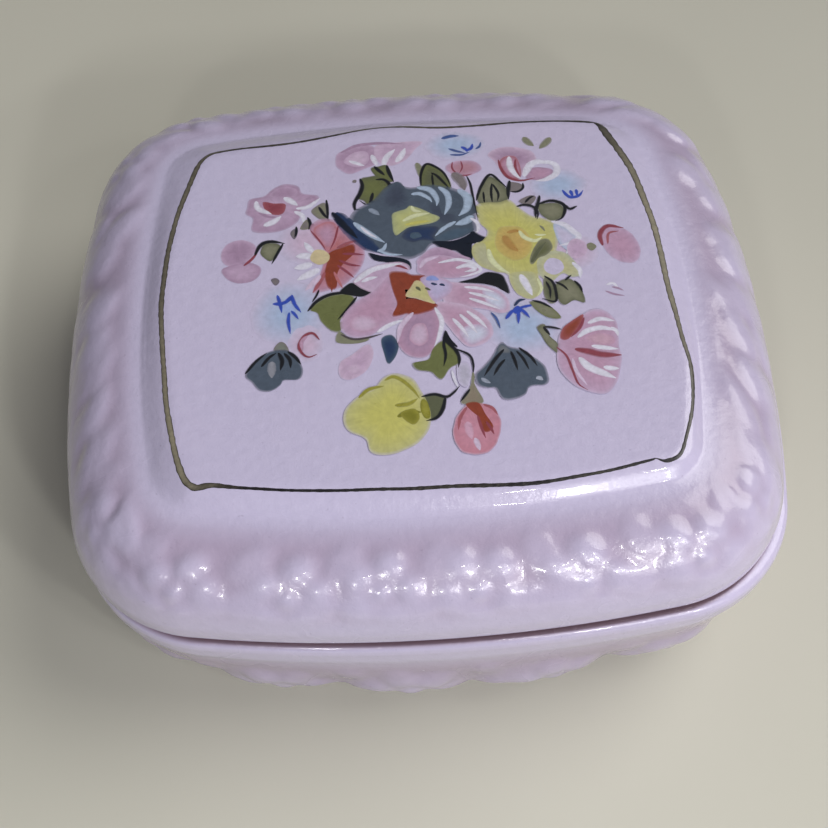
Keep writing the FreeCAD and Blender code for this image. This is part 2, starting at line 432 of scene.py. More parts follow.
def glaze_material():
    """Thick pink-lilac glaze, deeper in the hollows of the relief, with a dark brown painted shade along
    the seam.
    """
    material, nodes, links, surface = new_material("glaze")
    cloud = noise(nodes, links, 28, 2)
    tint = ramp(nodes, links, cloud, [(0.1, GLAZE_LIGHT), (0.9, GLAZE_PINK)])
    height = nodes.new("ShaderNodeAttribute")
    height.attribute_name = "relief"
    pool = spread(nodes, links, height.outputs["Fac"], 0.0, SMOOTH, 0.62, 0.0)
    colour = mixed(nodes, links, "MIX", pool, tint, GLAZE_DEEP)
    # painted shade along the seam, where relief is below 0
    seam_shading = spread(nodes, links, height.outputs["Fac"], SEAM_SHADE_LEVEL, 0.0, 0.85, 0.0)
    colour = mixed(nodes, links, "MIX", seam_shading, colour, SEAM_SHADE_COLOUR)
    mottle = noise(nodes, links, 900, 3)
    faint = ramp(nodes, links, mottle, [(0.2, (0.93, 0.93, 0.945, 1)), (0.8, WHITE_LIGHT)])
    colour = mixed(nodes, links, "MULTIPLY", 1.0, colour, faint)
    specks = noise(nodes, links, 2600, 1)
    speck_share = ramp(nodes, links, specks, [(0.72, grey(0)), (0.80, grey(0.22))])
    colour = mixed(nodes, links, "MIX", speck_share, colour, GLAZE_SPECK)
    links.new(colour, surface.inputs["Base Color"])
    sheen = noise(nodes, links, 160, 2)
    links.new(spread(nodes, links, sheen, 0.3, 0.7, 0.20, 0.30), surface.inputs["Roughness"])
    surface.inputs["Coat Weight"].default_value = 0.5
    surface.inputs["Coat Roughness"].default_value = 0.05
    ripple = noise(nodes, links, 900, 3, 0.6)
    bumps(nodes, links, ripple, 0.00007, surface)
    return material


def bisque_material():
    """Bare fired porcelain, fine-grained and matt."""
    material, nodes, links, surface = new_material("bisque")
    cloud = noise(nodes, links, 220, 4)
    colour = ramp(nodes, links, cloud, [(0.3, BISQUE_LIGHT), (0.7, BISQUE_DARK)])
    links.new(colour, surface.inputs["Base Color"])
    grain = noise(nodes, links, 5200, 2)
    links.new(spread(nodes, links, grain, 0.3, 0.7, 0.62, 0.82), surface.inputs["Roughness"])
    bumps(nodes, links, grain, 0.00003, surface)
    return material


glaze = glaze_material()
bisque = bisque_material()

# ---------------------------------------------------------------- base

# foot and belly: inset from the rim outline, level, front bow, side bow, corner radius, relief share
BELLY = [
    (6.3, 0.0, 86.0, 76.0, 16.0, 0.0),
    (5.9, 0.25, 86.0, 76.0, 16.0, 0.0),
    (5.3, 1.1, 86.5, 76.5, 16.3, 0.2),
    (3.9, 2.6, 88.0, 78.0, 17.0, 0.9),
    (1.2, 6.5, 100.0, 88.0, 17.0, 1.0),
    (0.3, 11.5, 130.0, 110.0, 16.0, 1.0),
    (0.15, 13.8, 145.0, 120.0, 15.7, 0.5),
    (0.05, 15.0, 160.0, 131.0, 15.5, 0.0),
    (0.0, 16.7, 165.0, 135.0, 15.5, 0.0),
]
BASE_RIM = [
    (0.0, 16.7, 165.0, 135.0, 15.5, 0.0),
    (0.1, 17.2, 165.0, 135.0, 15.5, 0.0),
    (0.45, 17.6, 165.0, 135.0, 15.5, 0.0),
    (0.9, 17.74, 165.0, 135.0, 15.5, 0.0),
    (1.6, RIM_LEVEL, 165.0, 135.0, 15.5, 0.0),
]

# bare and inner surfaces of the base: inset from the rim outline, level
BASE_SEAT = [
    (1.6, RIM_LEVEL), (3.8, RIM_LEVEL), (4.05, 17.9), (4.1, 18.2), (4.12, 19.9),
    (4.35, 20.2), (4.7, LIP_TOP), (5.3, LIP_TOP), (5.6, 20.15), (5.7, 19.8),
]
BASE_CAVITY = [
    (5.7, 19.8), (5.7, 14.0), (6.2, 11.0), (7.0, 8.5), (8.1, 6.2), (9.7, 4.6), (12.0, 3.9), (14.5, 3.8),
]
FOOT = [(9.6, 1.0), (9.4, 0.8), (9.35, 0.3), (9.1, 0.05), (8.8, 0.0), (6.3, 0.0)]

# inset, bows and corner radius of the foot's outline
FOOT_INSET = 5.9
FOOT_OUTLINE = (86.0, 76.0, 16.0)

# embossed motifs of the belly: heights, places and sizes
BELLY_MOTIFS = 17
LOBE_TALL = 1.0
LOBE_LEVEL = 6.0
LOBE_WIDTH = 14.5
LOBE_REACH = 13.0
BELLY_TALL = 0.6
BELLY_LEVEL = 7.4
BELLY_SIZE = 5.8
BELLY_PETALS = 6
# leaves between rosettes: distance up, height as a share, length, width, heading and how far it varies
BELLY_LEAVES = [
    (3.2, 0.8, 8.0, 4.2, 1.1, 0.2),
    (3.2, 0.8, 8.0, 4.2, 2.1, 0.2),
    (14.2, 0.5, 5.0, 3.2, -1.2, 0.3),
]
BELLY_WANDER = 0.08
CREST_TONE = 0.8


# sizes of the rings that close a surface, as shares of its last ring
INWARDS = (0.7, 0.4, 0.15)


def even_relief(grid, value):
    """The same relief value all over a shell."""
    return {"relief": np.full(grid.shape[:2], float(value))}


def section_rings(rows):
    """Rings of cross-sections that each have bows and a corner of their own."""
    rings = []
    for inset, level, bow_front, bow_side, corner in rows[:, :5]:
        flat = outline(HALF_WIDTH - inset, HALF_DEPTH - inset, bow_front, bow_side, corner)
        rings.append(np.column_stack([flat, np.full(AROUND, level)]))
    return np.array(rings)


def painted_seam_shade(rows):
    """How far the base's rim is darkened by painted shade, 0 to 1: under the lid's edge, which is a little
    off centre.
    """
    ring = rim_outline(0)
    ahead = np.roll(ring, -1, axis=0) - np.roll(ring, 1, axis=0)
    outward = ahead[:, 1] / np.linalg.norm(ahead, axis=1)
    from_lid = rows[:, 0][:, None] + LID_X * outward[None]
    under_lid = np.clip((from_lid - LID_EDGE) / SEAM_SHADE_BLEND + SEAM_SHADE_START, 0, 1)
    near_top = np.clip((rows[:, 1][:, None] - RIM_LEVEL + SEAM_SHADE_DEPTH) / SEAM_SHADE_BLEND, 0, 1)
    return under_lid * near_top


def belly_lobes():
    """Broad swellings round the belly, which make its outline wavy."""
    lobes = []
    for i in range(BELLY_MOTIFS):
        share = varied((i + 0.5) / BELLY_MOTIFS, 0.006)
        level = varied(LOBE_LEVEL, 0.6)
        lobes.append((lobe, share, level, LOBE_TALL, varied(LOBE_WIDTH, 1.5), LOBE_REACH))
    return lobes


def leaves_between(share, tall, leaves):
    """The leaves that fill the gap between two rosettes."""
    motifs = []
    for start, height, length, width, heading, change in leaves:
        motifs.append((leaf, share, start, tall * height, length, width, varied(heading, change)))
    return motifs


def belly_motifs():
    """Big rosettes round the belly with leaves between them."""
    motifs = []
    for i in range(BELLY_MOTIFS):
        share = varied((i + 0.5) / BELLY_MOTIFS, 0.004)
        level = varied(BELLY_LEVEL, 0.5)
        size = varied(BELLY_SIZE, 0.4, 0.5)
        motifs.append((rosette, share, level, BELLY_TALL, size, rng.uniform(0, 1.2), BELLY_PETALS))
        motifs += leaves_between(varied(i / BELLY_MOTIFS, 0.003), BELLY_TALL, BELLY_LEAVES)
    return motifs


def make_base():
    """Glazed outside and inside, with a bare foot ring and a bare seat for the lid."""
    rows = np.vstack([profile_rows(BELLY, 0.34), profile_rows(BASE_RIM, 0.12)[1:]])
    grid = section_rings(rows)
    share = rows[:, 5][:, None]
    height = relief(grid, belly_lobes(), 8) + relief(grid, belly_motifs(), 4)
    height = height * share
    shaped = grid + normals(grid) * (height + BELLY_WANDER * wander(grid, 38, 3) * share)[:, :, None]
    level = CREST_TONE * height / (LOBE_TALL + BELLY_TALL) + (1 - share) * SMOOTH
    # painted shade on the base's rim, just under the lid's edge
    seam_shading = painted_seam_shade(rows)
    level = level * (1 - seam_shading) + seam_shading * SEAM_SHADE_LEVEL
    outside = shell("base_shell", shaped, glaze, "base_body", {"relief": level})
    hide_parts("base")

    seat = offset_rings(profile_rows(BASE_SEAT, 0.25))
    shell("base_seat", seat, bisque, "base_body", even_relief(seat, 0))

    cavity = offset_rings(profile_rows(BASE_CAVITY, 0.7))
    cavity = np.vstack([cavity, towards_middle(cavity[-1], INWARDS, 0.0)])
    shell("base_inside", cavity, glaze, "base_body", even_relief(cavity, INSIDE), cap_end=True)

    sections = []
    for inset, level in FOOT:
        sections.append((inset, level, *(size - (inset - FOOT_INSET) for size in FOOT_OUTLINE)))
    ring = section_rings(profile_rows(sections, 0.3))
    shell("base_foot", ring, bisque, "base_body", even_relief(ring, 0))
    under = np.vstack([towards_middle(ring[0], INWARDS[::-1], 0.0), ring[:1]])
    shell("base_underside", under, glaze, "base_body", even_relief(under, INSIDE), cap_start=True)


def offset_rings(rows):
    """Rings that are offsets of the rim outline: each row is an inset and a level."""
    rings = []
    for inset, level in rows[:, :2]:
        rings.append(np.column_stack([rim_outline(inset), np.full(AROUND, level)]))
    return np.array(rings)


def towards_middle(ring, shares, rise):
    """Rings shrinking from a ring towards its middle, rising a little as a dome."""
    middle = ring.mean(axis=0)
    rings = []
    for share in shares:
        inner = middle + (ring - middle) * share
        inner[:, 2] = middle[2] + rise * (1 - share**2)
        rings.append(inner)
    return np.array(rings)


# ---------------------------------------------------------------- lid

# outside of the lid from the seam up: inset from the rim outline, level, relief share
SHOULDER = [
    (1.5, SEAM, 0.0),
    (0.9, SEAM + 0.2, 0.0),
    (0.58, SEAM + 0.8, 0.0),
    (0.5, 20.4, 0.0),
    (0.75, 21.9, 0.08),
    (1.5, 23.4, 0.65),
    (3.7, 25.75, 1.0),
    (6.4, 27.15, 1.0),
    (8.0, 27.6, 0.6),
    (9.2, 27.72, 0.12),
    (9.9, 27.80, 0.0),
]
BEVEL = [
    (9.9, 27.80),
    (10.3, 28.0),
    (10.8, 28.4),
    (11.3, 28.78),
    (11.9, 29.05),
    (12.6, 29.16),
]

# bare and inner surfaces of the lid: inset from the rim outline, level
LID_SEAT = [(3.0, 18.6), (2.95, 18.15), (2.8, SEAM), (1.3, SEAM)]
LID_HOLLOW = [
    (13.5, 25.4), (11.0, 25.4), (8.5, 25.15), (6.4, 24.2),
    (4.4, 22.9), (3.3, 21.6), (3.0, 20.2), (3.0, 18.6),
]

# embossed motifs of the shoulder: heights, places and sizes
SHOULDER_TALL = 0.68
SHOULDER_WANDER = 0.06
ROSETTES = 24
ROSETTE_LEVEL = 8.2
ROSETTE_SIZE = 4.7
ROSETTE_PETALS = 5
SHOULDER_LEAVES = [
    (8.6, 0.5, 6.0, 4.0, 1.3, 0.25),
    (8.4, 0.8, 6.0, 4.0, -0.7, 0.25),
    (8.4, 0.8, 6.0, 4.0, -2.4, 0.25),
]
SPRAYS = 46
SPRAY_LEVELS = (3.6, 6.2, 8.8)
SPRAY_SLANT = 0.55
SPRAY_LENGTH = 8.5
SPRAY_WIDTH = 3.6
# rosettes keep to the front and back, sprays to the sides. Both limits are cosines of the way round
ROSETTES_BELOW = 0.8
SPRAYS_ABOVE = 0.68

# rings of the panel's top, as shares of its edge, and how it rises to its middle
PANEL_RINGS = (0.985, 0.95, 0.88, 0.78, 0.66, 0.54, 0.42, 0.3, 0.18, 0.08)
PANEL_CROWN = 0.04
PANEL_INSET = 11.8

# the panel and the paint are drawn from the middle of the box; they lie a little right of the lid's middle
PANEL_OFF_CENTRE = 0.35
PAINT_SHIFT = LID_X + PANEL_OFF_CENTRE

# the panel's edge, anticlockwise from its right side
PANEL_EDGE = [
    (27.6, -2.0), (27.3, 8.0), (26.2, 16.0), (24.0, 22.4), (22.4, 24.2), (18.5, 24.8), (9.0, 25.1),
    (-2.0, 25.2), (-13.0, 24.0), (-21.5, 22.8), (-24.0, 21.9), (-25.6, 18.6), (-27.3, 11.5), (-28.2, 2.0),
    (-27.5, -9.0), (-26.2, -18.4), (-24.9, -22.2), (-22.8, -23.2), (-14.0, -24.2), (0.0, -24.9),
    (12.0, -24.8), (22.5, -23.5), (25.4, -22.4), (26.6, -19.4), (27.9, -11.5),
]


def panel_ring():
    """The panel's edge, one point in the direction of each column of the shell."""
    edge = rounded(PANEL_EDGE, 1500, closed=True) - [LID_X - PAINT_SHIFT, 0]
    edge_angle = np.arctan2(edge[:, 1], edge[:, 0])
    order = np.argsort(edge_angle)
    reach = np.hypot(*edge.T)
    column = rim_outline(PANEL_INSET)
    angle = np.arctan2(column[:, 1], column[:, 0])
    distance = np.interp(angle, edge_angle[order], reach[order], period=2 * math.pi)
    return np.column_stack([np.cos(angle), np.sin(angle)]) * distance[:, None]


def shoulder_motifs():
    """Rosettes and leaves along the front and back of the shoulder, slanting leaves along its sides."""
    motifs = []
    for i in range(ROSETTES):
        share = varied((i + 0.5) / ROSETTES, 0.005)
        if abs(math.cos(2 * math.pi * share)) < ROSETTES_BELOW:
            level = varied(ROSETTE_LEVEL, 0.9, 0.7)
            size = varied(ROSETTE_SIZE, 0.4, 0.6)
            motifs.append((rosette, share, level, SHOULDER_TALL, size, rng.uniform(0, 1), ROSETTE_PETALS))
            motifs += leaves_between(varied(i / ROSETTES, 0.004), SHOULDER_TALL, SHOULDER_LEAVES)
    for i in range(SPRAYS):
        share = varied(i, 0.25) / SPRAYS
        sideways = math.cos(2 * math.pi * share)
        if abs(sideways) < SPRAYS_ABOVE:
            continue
        for start in SPRAY_LEVELS:
            slant = varied(SPRAY_SLANT, 0.15, 0.2)
            turn = slant if sideways > 0 else math.pi - slant
            length = varied(SPRAY_LENGTH, 1.5)
            tall = SHOULDER_TALL * rng.uniform(0.6, 0.95)
            motifs.append((leaf, share, varied(start, 0.8), tall, length, SPRAY_WIDTH, turn))
    return motifs


def make_lid():
    """Glazed cap with an embossed shoulder and a raised panel, bare where it sits on the base."""
    rows = profile_rows(SHOULDER, 0.30)
    grid = offset_rings(rows)
    height = relief(grid, shoulder_motifs(), 5) * rows[:, 2][:, None]
    shoulder = grid + normals(grid) * (height + SHOULDER_WANDER * wander(grid, 34, 5))[:, :, None]

    bevel_rows = profile_rows(BEVEL, 0.22)[1:]
    bevel = offset_rings(bevel_rows)
    edge = panel_ring()
    plain_edge = rim_outline(PANEL_INSET)
    share = np.clip((bevel_rows[:, 0] - BEVEL[0][0]) / (PANEL_INSET - BEVEL[0][0]), 0, 1)
    share = share**2 * (3 - 2 * share)
    bevel[:, :, :2] += (edge - plain_edge)[None] * share[:, None, None]
    plateau = towards_middle(bevel[-1], PANEL_RINGS, PANEL_CROWN)
    rise = through([0, 0.3, 1], [0, 0.85, 1], np.linspace(0, 1, len(PANEL_RINGS)))
    plateau[:, :, 2] += (TOP - PANEL_CROWN - plateau[0, 0, 2]) * rise
    outer = np.vstack([shoulder, bevel, plateau])
    level = height / SHOULDER_TALL + (1 - rows[:, 2][:, None]) * SMOOTH
    # painted shade on the lid's lowest rows, along the seam
    level[rows[:, 1] < SEAM + SEAM_SHADE_REACH] = SEAM_SHADE_LEVEL
    level = np.vstack([level, np.full((len(bevel) + len(plateau), AROUND), SMOOTH)])
    outer[:, :, 0] += LID_X
    top = shell("lid_shell", outer, glaze, "lid_body", {"relief": level}, cap_end=True)
    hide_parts("lid")

    seat = offset_rings(profile_rows(LID_SEAT, 0.25))
    seat[:, :, 0] += LID_X
    shell("lid_seat", seat, bisque, "lid_body", even_relief(seat, 0))
    inside = offset_rings(profile_rows(LID_HOLLOW, 0.7))
    inside = np.vstack([towards_middle(inside[0], INWARDS[::-1], 0.0), inside])
    inside[:, :, 0] += LID_X
    shell("lid_inside", inside, glaze, "lid_body", even_relief(inside, INSIDE), cap_start=True)
    return top


make_base()
lid_shell = make_lid()

# ---------------------------------------------------------------- painted bouquet

# colours of the enamels, on the 0 to 255 scale
SLATE, SLATE_DARK, STEEL, NAVY = (84, 96, 112), (70, 78, 96), (78, 98, 118), (40, 60, 98)
INK, INK_BLUE = (26, 28, 34), (20, 28, 44)
PALE_BLUE, WHITE, ROSE_WHITE = (178, 196, 220), (232, 230, 246), (222, 202, 228)
YELLOW, YELLOW_SOFT, CREAM = (206, 202, 112), (196, 194, 140), (226, 230, 186)
MUSTARD, MUSTARD_DEEP, AMBER = (160, 156, 66), (132, 130, 44), (204, 172, 104)
RUST, CORAL, RED, RED_SOFT = (146, 68, 48), (196, 122, 128), (148, 72, 86), (168, 96, 106)
PINK, PINK_SOFT, MAUVE, PINK_LIGHT = (196, 156, 184), (200, 172, 202), (176, 146, 176), (214, 190, 216)
OLIVE, OLIVE_DARK, OLIVE_GREY, GREY_LEAF = (114, 120, 74), (98, 102, 78), (138, 138, 116), (132, 124, 126)
BLUE, BLUE_DARK, BLUE_WASH, SAND = (56, 84, 190), (72, 96, 156), (178, 196, 228), (216, 200, 160)
GLAZE = (209, 201, 229)

# Each stroke is a patch (colour, colour at its edge, outline) or a brush mark (colour, width, course).
# Points are millimetres right of and behind the middle of the box, seen from above.
WASHES = [
    ("wash", BLUE_WASH, (5.6, 21.6), (3.6, 2.3)),
    ("wash", BLUE_WASH, (17.0, 14.4), (3.4, 2.6)),
    ("wash", BLUE_WASH, (-14.2, -2.0), (4.2, 4.4)),
    ("wash", BLUE_WASH, (10.8, -5.6), (4.2, 3.8)),
    ("wash", PINK_LIGHT, (-12.4, -6.2), (1.9, 2.4)),
    ("wash", PINK_LIGHT, (17.6, 4.4), (2.8, 2.6)),
    ("wash", PINK_LIGHT, (-12.0, 8.0), (3.4, 3.6)),
]
TOP_BLOSSOM = [
    ("patch", MAUVE, PINK_SOFT, [(-8.6, 20.2), (-8.2, 21.4), (-6.4, 22.2), (-4.4, 22.4), (-3.6, 21.2),
        (-3.8, 19.4), (-5.2, 18.6), (-7.0, 17.9), (-8.4, 19.0)]),
    ("patch", PINK_SOFT, PINK_LIGHT, [(-3.8, 22.2), (-1.2, 22.6), (1.8, 22.5), (1.0, 21.4), (-0.4, 19.6),
        (-2.2, 18.8), (-3.6, 19.6)]),
    ("patch", PINK_LIGHT, PINK_SOFT, [(-7.6, 19.8), (-6.6, 21.2), (-5.0, 21.4), (-4.6, 20.0),
        (-5.8, 18.9)]),
    ("brush", MAUVE, 0.5, [(-7.9, 21.4), (-6.0, 22.4), (-3.2, 22.6), (-0.6, 22.3)]),
    ("brush", WHITE, 0.55, [(-7.0, 20.0), (-6.0, 19.5), (-5.2, 19.1)]),
    ("brush", WHITE, 0.7, [(-4.3, 20.8), (-4.0, 19.8), (-3.7, 18.9)]),
    ("brush", WHITE, 0.8, [(-3.0, 18.8), (-2.6, 20.2), (-1.5, 21.5)]),
    ("brush", WHITE, 0.8, [(-1.5, 19.4), (-0.8, 20.4), (-0.3, 21.6)]),
]
LEAVES_TOP_LEFT = [
    ("patch", OLIVE, OLIVE_DARK, [(-5.8, 17.0), (-4.6, 17.4), (-3.2, 17.4), (-2.4, 16.2), (-2.6, 15.2),
        (-3.6, 14.2), (-4.8, 12.8), (-5.6, 13.6), (-6.4, 14.2), (-5.6, 15.6)]),
    ("patch", OLIVE, OLIVE_DARK, [(-4.5, 18.6), (-3.6, 18.9), (-2.5, 18.9), (-1.9, 16.4), (-3.0, 16.6),
        (-4.0, 17.4)]),
    ("brush", INK, 0.6, [(-5.8, 17.1), (-5.6, 16.0), (-5.9, 14.8), (-6.6, 13.2), (-6.4, 11.6)]),
    ("brush", INK, 0.5, [(-4.0, 16.8), (-3.0, 16.7), (-2.4, 15.6), (-3.6, 14.0), (-4.8, 12.8),
        (-6.0, 13.7)]),
    ("brush", INK, 0.45, [(-4.4, 14.8), (-4.6, 13.9), (-4.9, 12.9)]),
    ("brush", INK, 0.5, [(-4.1, 18.9), (-3.4, 18.0), (-2.9, 17.4)]),
    ("brush", INK, 0.5, [(-2.6, 19.0), (-2.4, 17.8), (-1.9, 16.3)]),
    ("brush", GREY_LEAF, 0.6, [(-6.6, 16.9), (-6.3, 16.5)]),
]
LEAVES_TOP = [
    ("brush", OLIVE_GREY, 0.9, [(0.9, 19.1), (1.2, 18.0), (1.3, 16.6)]),
    ("patch", OLIVE_DARK, OLIVE, [(1.2, 15.4), (1.2, 17.0), (2.0, 18.8), (3.4, 18.0), (4.4, 16.6),
        (4.7, 15.0), (3.6, 14.8), (2.4, 14.8)]),
    ("brush", INK, 0.42, [(1.2, 15.3), (1.3, 17.2), (2.0, 18.8), (3.2, 18.2), (4.1, 17.0), (4.7, 14.9)]),
    ("brush", INK, 0.42, [(2.5, 17.4), (3.2, 16.8), (4.4, 14.9)]),
    ("brush", INK, 0.32, [(2.6, 17.2), (2.6, 16.0), (2.7, 14.9)]),
    ("brush", GREY_LEAF, 1.4, [(5.0, 17.2), (5.9, 15.8), (6.2, 14.4)]),
    ("patch", OLIVE_GREY, OLIVE_DARK, [(7.4, 13.0), (8.0, 14.8), (9.2, 16.4), (10.6, 15.2), (11.1, 14.0),
        (11.1, 12.6), (9.6, 12.0), (8.2, 11.6)]),
    ("brush", INK, 0.42, [(7.4, 12.7), (8.1, 14.8), (9.3, 16.6), (10.4, 15.4), (11.2, 14.2)]),
    ("brush", INK, 0.34, [(9.4, 15.2), (9.2, 13.8), (9.2, 12.2)]),
    ("brush", INK, 0.34, [(9.5, 15.1), (10.0, 13.6), (9.8, 12.4)]),
    ("brush", INK, 0.28, [(8.3, 14.0), (8.3, 12.2)]),
    ("patch", GREY_LEAF, GREY_LEAF, [(11.4, 15.2), (12.6, 15.0), (13.0, 14.4), (12.2, 13.8),
        (11.4, 13.8)]),
    ("brush", INK, 0.55, [(11.5, 15.5), (11.2, 14.0), (11.1, 12.6)]),
    ("brush", INK, 0.36, [(13.0, 15.0), (12.9, 14.2), (12.2, 13.7), (11.3, 13.8)]),
    ("brush", INK, 0.36, [(6.6, 16.6), (6.9, 15.4), (7.0, 14.2), (7.1, 12.6), (7.3, 10.2)]),
]
BUD_TOP = [
    ("patch", (188, 140, 156), PINK_SOFT, [(4.2, 18.0), (5.0, 18.9), (6.4, 19.1), (7.8, 18.8),
        (8.5, 17.6), (7.4, 16.8), (6.2, 16.4), (5.1, 16.8)]),
    ("brush", RED, 0.27, [(5.1, 18.9), (5.0, 18.0), (5.4, 17.2), (6.2, 16.6)]),
    ("brush", RED, 0.25, [(6.1, 19.0), (6.2, 18.0), (5.8, 17.1)]),
    ("brush", RED, 0.22, [(6.0, 16.8), (6.6, 16.7), (7.3, 16.9)]),
]
BLOSSOM_TOP_RIGHT = [
    ("patch", MAUVE, PINK_LIGHT, [(9.3, 19.8), (10.4, 20.7), (12.0, 20.9), (14.4, 20.1), (15.0, 18.6),
        (14.0, 17.6), (13.0, 16.2), (11.6, 15.8), (10.7, 17.0), (10.0, 18.6)]),
    ("patch", PINK, RED_SOFT, [(10.6, 18.6), (11.4, 19.4), (12.6, 19.2), (13.0, 17.4), (12.8, 15.8),
        (11.6, 15.8), (10.8, 17.0)]),
    ("patch", PINK, MAUVE, [(13.4, 15.7), (14.2, 17.2), (15.4, 17.3), (16.7, 16.8), (16.2, 15.7),
        (14.8, 15.3)]),
    ("brush", WHITE, 0.85, [(11.8, 19.3), (11.8, 17.6), (12.4, 16.2), (12.9, 15.7)]),
    ("brush", RED, 0.42, [(10.5, 18.9), (10.7, 17.4), (11.4, 16.0), (12.8, 15.4), (14.5, 15.7)]),
    ("brush", RED, 0.32, [(12.5, 18.8), (12.4, 17.4), (12.8, 15.9)]),
    ("brush", WHITE, 0.95, [(13.2, 16.0), (14.1, 17.7), (15.1, 18.2), (16.5, 17.8)]),
    ("brush", WHITE, 0.85, [(15.9, 18.3), (17.1, 17.5), (17.0, 16.2), (15.8, 15.4), (14.5, 15.2)]),
]
SPRIGS = [
    ("brush", OLIVE_GREY, 1.0, [(13.8, 22.3), (14.3, 21.4), (14.9, 20.8)]),
    ("brush", OLIVE_GREY, 1.0, [(17.0, 22.0), (16.4, 21.2), (15.5, 20.3)]),
    ("brush", BLUE_DARK, 0.6, [(4.1, 22.8), (5.2, 23.1), (6.2, 23.1)]),
    ("brush", BLUE_DARK, 0.42, [(4.8, 21.1), (5.8, 20.6), (6.7, 20.3)]),
    ("brush", BLUE, 0.5, [(6.3, 21.3), (6.8, 20.9), (7.0, 20.4)]),
    ("brush", BLUE, 0.5, [(6.9, 20.6), (7.5, 21.0), (7.7, 21.7)]),
    ("brush", BLUE_DARK, 0.35, [(4.9, 20.1), (6.2, 20.0), (7.3, 20.4)]),
    ("brush", BLUE_DARK, 0.35, [(8.0, 20.8), (8.5, 21.2), (8.7, 21.9)]),
    ("brush", BLUE, 0.5, [(17.4, 13.6), (17.8, 12.8), (18.3, 12.4), (19.2, 12.6), (19.8, 13.4)]),
    ("brush", BLUE, 0.5, [(18.3, 13.5), (18.5, 12.5)]),
    ("brush", BLUE, 0.45, [(19.0, 13.6), (19.0, 12.6)]),
]
BLOSSOM_LEFT = [
    ("patch", PINK_SOFT, MAUVE, [(-18.9, 13.6), (-18.6, 14.8), (-17.0, 15.2), (-16.0, 16.2),
        (-14.6, 16.9), (-13.0, 16.5), (-12.5, 15.3), (-10.8, 14.8), (-10.9, 13.8), (-12.6, 12.8),
        (-13.0, 11.2), (-14.4, 10.0), (-16.2, 9.6), (-18.3, 10.0), (-18.3, 11.8), (-19.1, 12.6)]),
    ("patch", MAUVE, PINK_SOFT, [(-16.4, 15.2), (-15.0, 16.5), (-13.3, 16.1), (-13.2, 15.0),
        (-14.6, 14.6)]),
    ("patch", RED, RED_SOFT, [(-17.1, 14.3), (-15.8, 14.0), (-14.5, 13.8), (-14.7, 12.5), (-15.6, 12.2),
        (-16.7, 12.8)]),
    ("brush", MAUVE, 0.35, [(-17.6, 12.7), (-16.4, 12.0), (-15.4, 11.9)]),
    ("brush", WHITE, 0.75, [(-17.9, 14.5), (-17.6, 13.3), (-16.1, 12.4)]),
    ("brush", WHITE, 0.85, [(-14.7, 14.8), (-13.9, 14.2), (-13.1, 13.5)]),
    ("brush", WHITE, 0.6, [(-13.3, 13.0), (-11.9, 13.2), (-10.5, 14.4)]),
    ("brush", WHITE, 0.65, [(-13.5, 12.6), (-12.6, 11.9), (-12.4, 10.7)]),
    ("brush", WHITE, 0.85, [(-17.0, 10.7), (-15.9, 11.2), (-15.0, 12.0)]),
]
BUD_LEFT = [
    ("patch", MAUVE, PINK_SOFT, [(-21.8, 6.6), (-21.2, 8.2), (-19.6, 8.8), (-18.2, 8.2), (-17.8, 7.2),
        (-18.6, 5.8), (-19.6, 5.0), (-21.2, 5.2)]),
    ("patch", PINK_SOFT, MAUVE, [(-21.6, 4.7), (-19.8, 5.4), (-18.6, 5.5), (-17.3, 4.6), (-17.5, 3.4),
        (-18.6, 2.6), (-20.0, 2.6), (-21.2, 3.4)]),
    ("patch", OLIVE_GREY, OLIVE_DARK, [(-17.4, 6.8), (-17.0, 7.9), (-16.2, 8.1), (-15.1, 7.7),
        (-15.5, 6.4), (-16.2, 5.4), (-17.0, 6.0)]),
    ("brush", RED, 0.4, [(-19.2, 5.0), (-18.3, 5.9), (-17.6, 7.0)]),
    ("brush", INK, 0.55, [(-18.0, 6.4), (-17.3, 7.9), (-16.2, 8.3), (-14.6, 7.9)]),
    ("brush", INK, 0.4, [(-14.8, 7.9), (-15.4, 6.6), (-16.1, 5.0)]),
    ("patch", GREY_LEAF, (110, 102, 122), [(-16.2, 2.8), (-15.6, 3.0), (-15.2, 2.5), (-15.7, 1.9)]),
]
LEAF_BITS = [
    ("patch", OLIVE_GREY, GREY_LEAF, [(-11.6, 12.4), (-10.6, 13.5), (-9.8, 13.5), (-9.6, 11.2),
        (-10.4, 11.0)]),
    ("brush", INK, 0.4, [(-9.8, 14.1), (-9.7, 12.6), (-9.7, 10.9)]),
    ("brush", INK, 0.42, [(-10.7, 13.1), (-10.2, 12.0), (-9.7, 11.2)]),
    ("patch", GREY_LEAF, OLIVE_GREY, [(-12.9, 9.9), (-12.1, 11.3), (-11.8, 9.9)]),
    ("brush", INK, 0.45, [(-12.0, 11.6), (-11.7, 10.6), (-11.9, 9.7)]),
    ("patch", GREY_LEAF, (120, 112, 132), [(-14.0, 9.4), (-13.4, 10.0), (-13.2, 9.0), (-13.6, 8.4)]),
    ("brush", INK, 0.4, [(-13.3, 10.3), (-13.3, 9.4), (-13.5, 8.7)]),
]
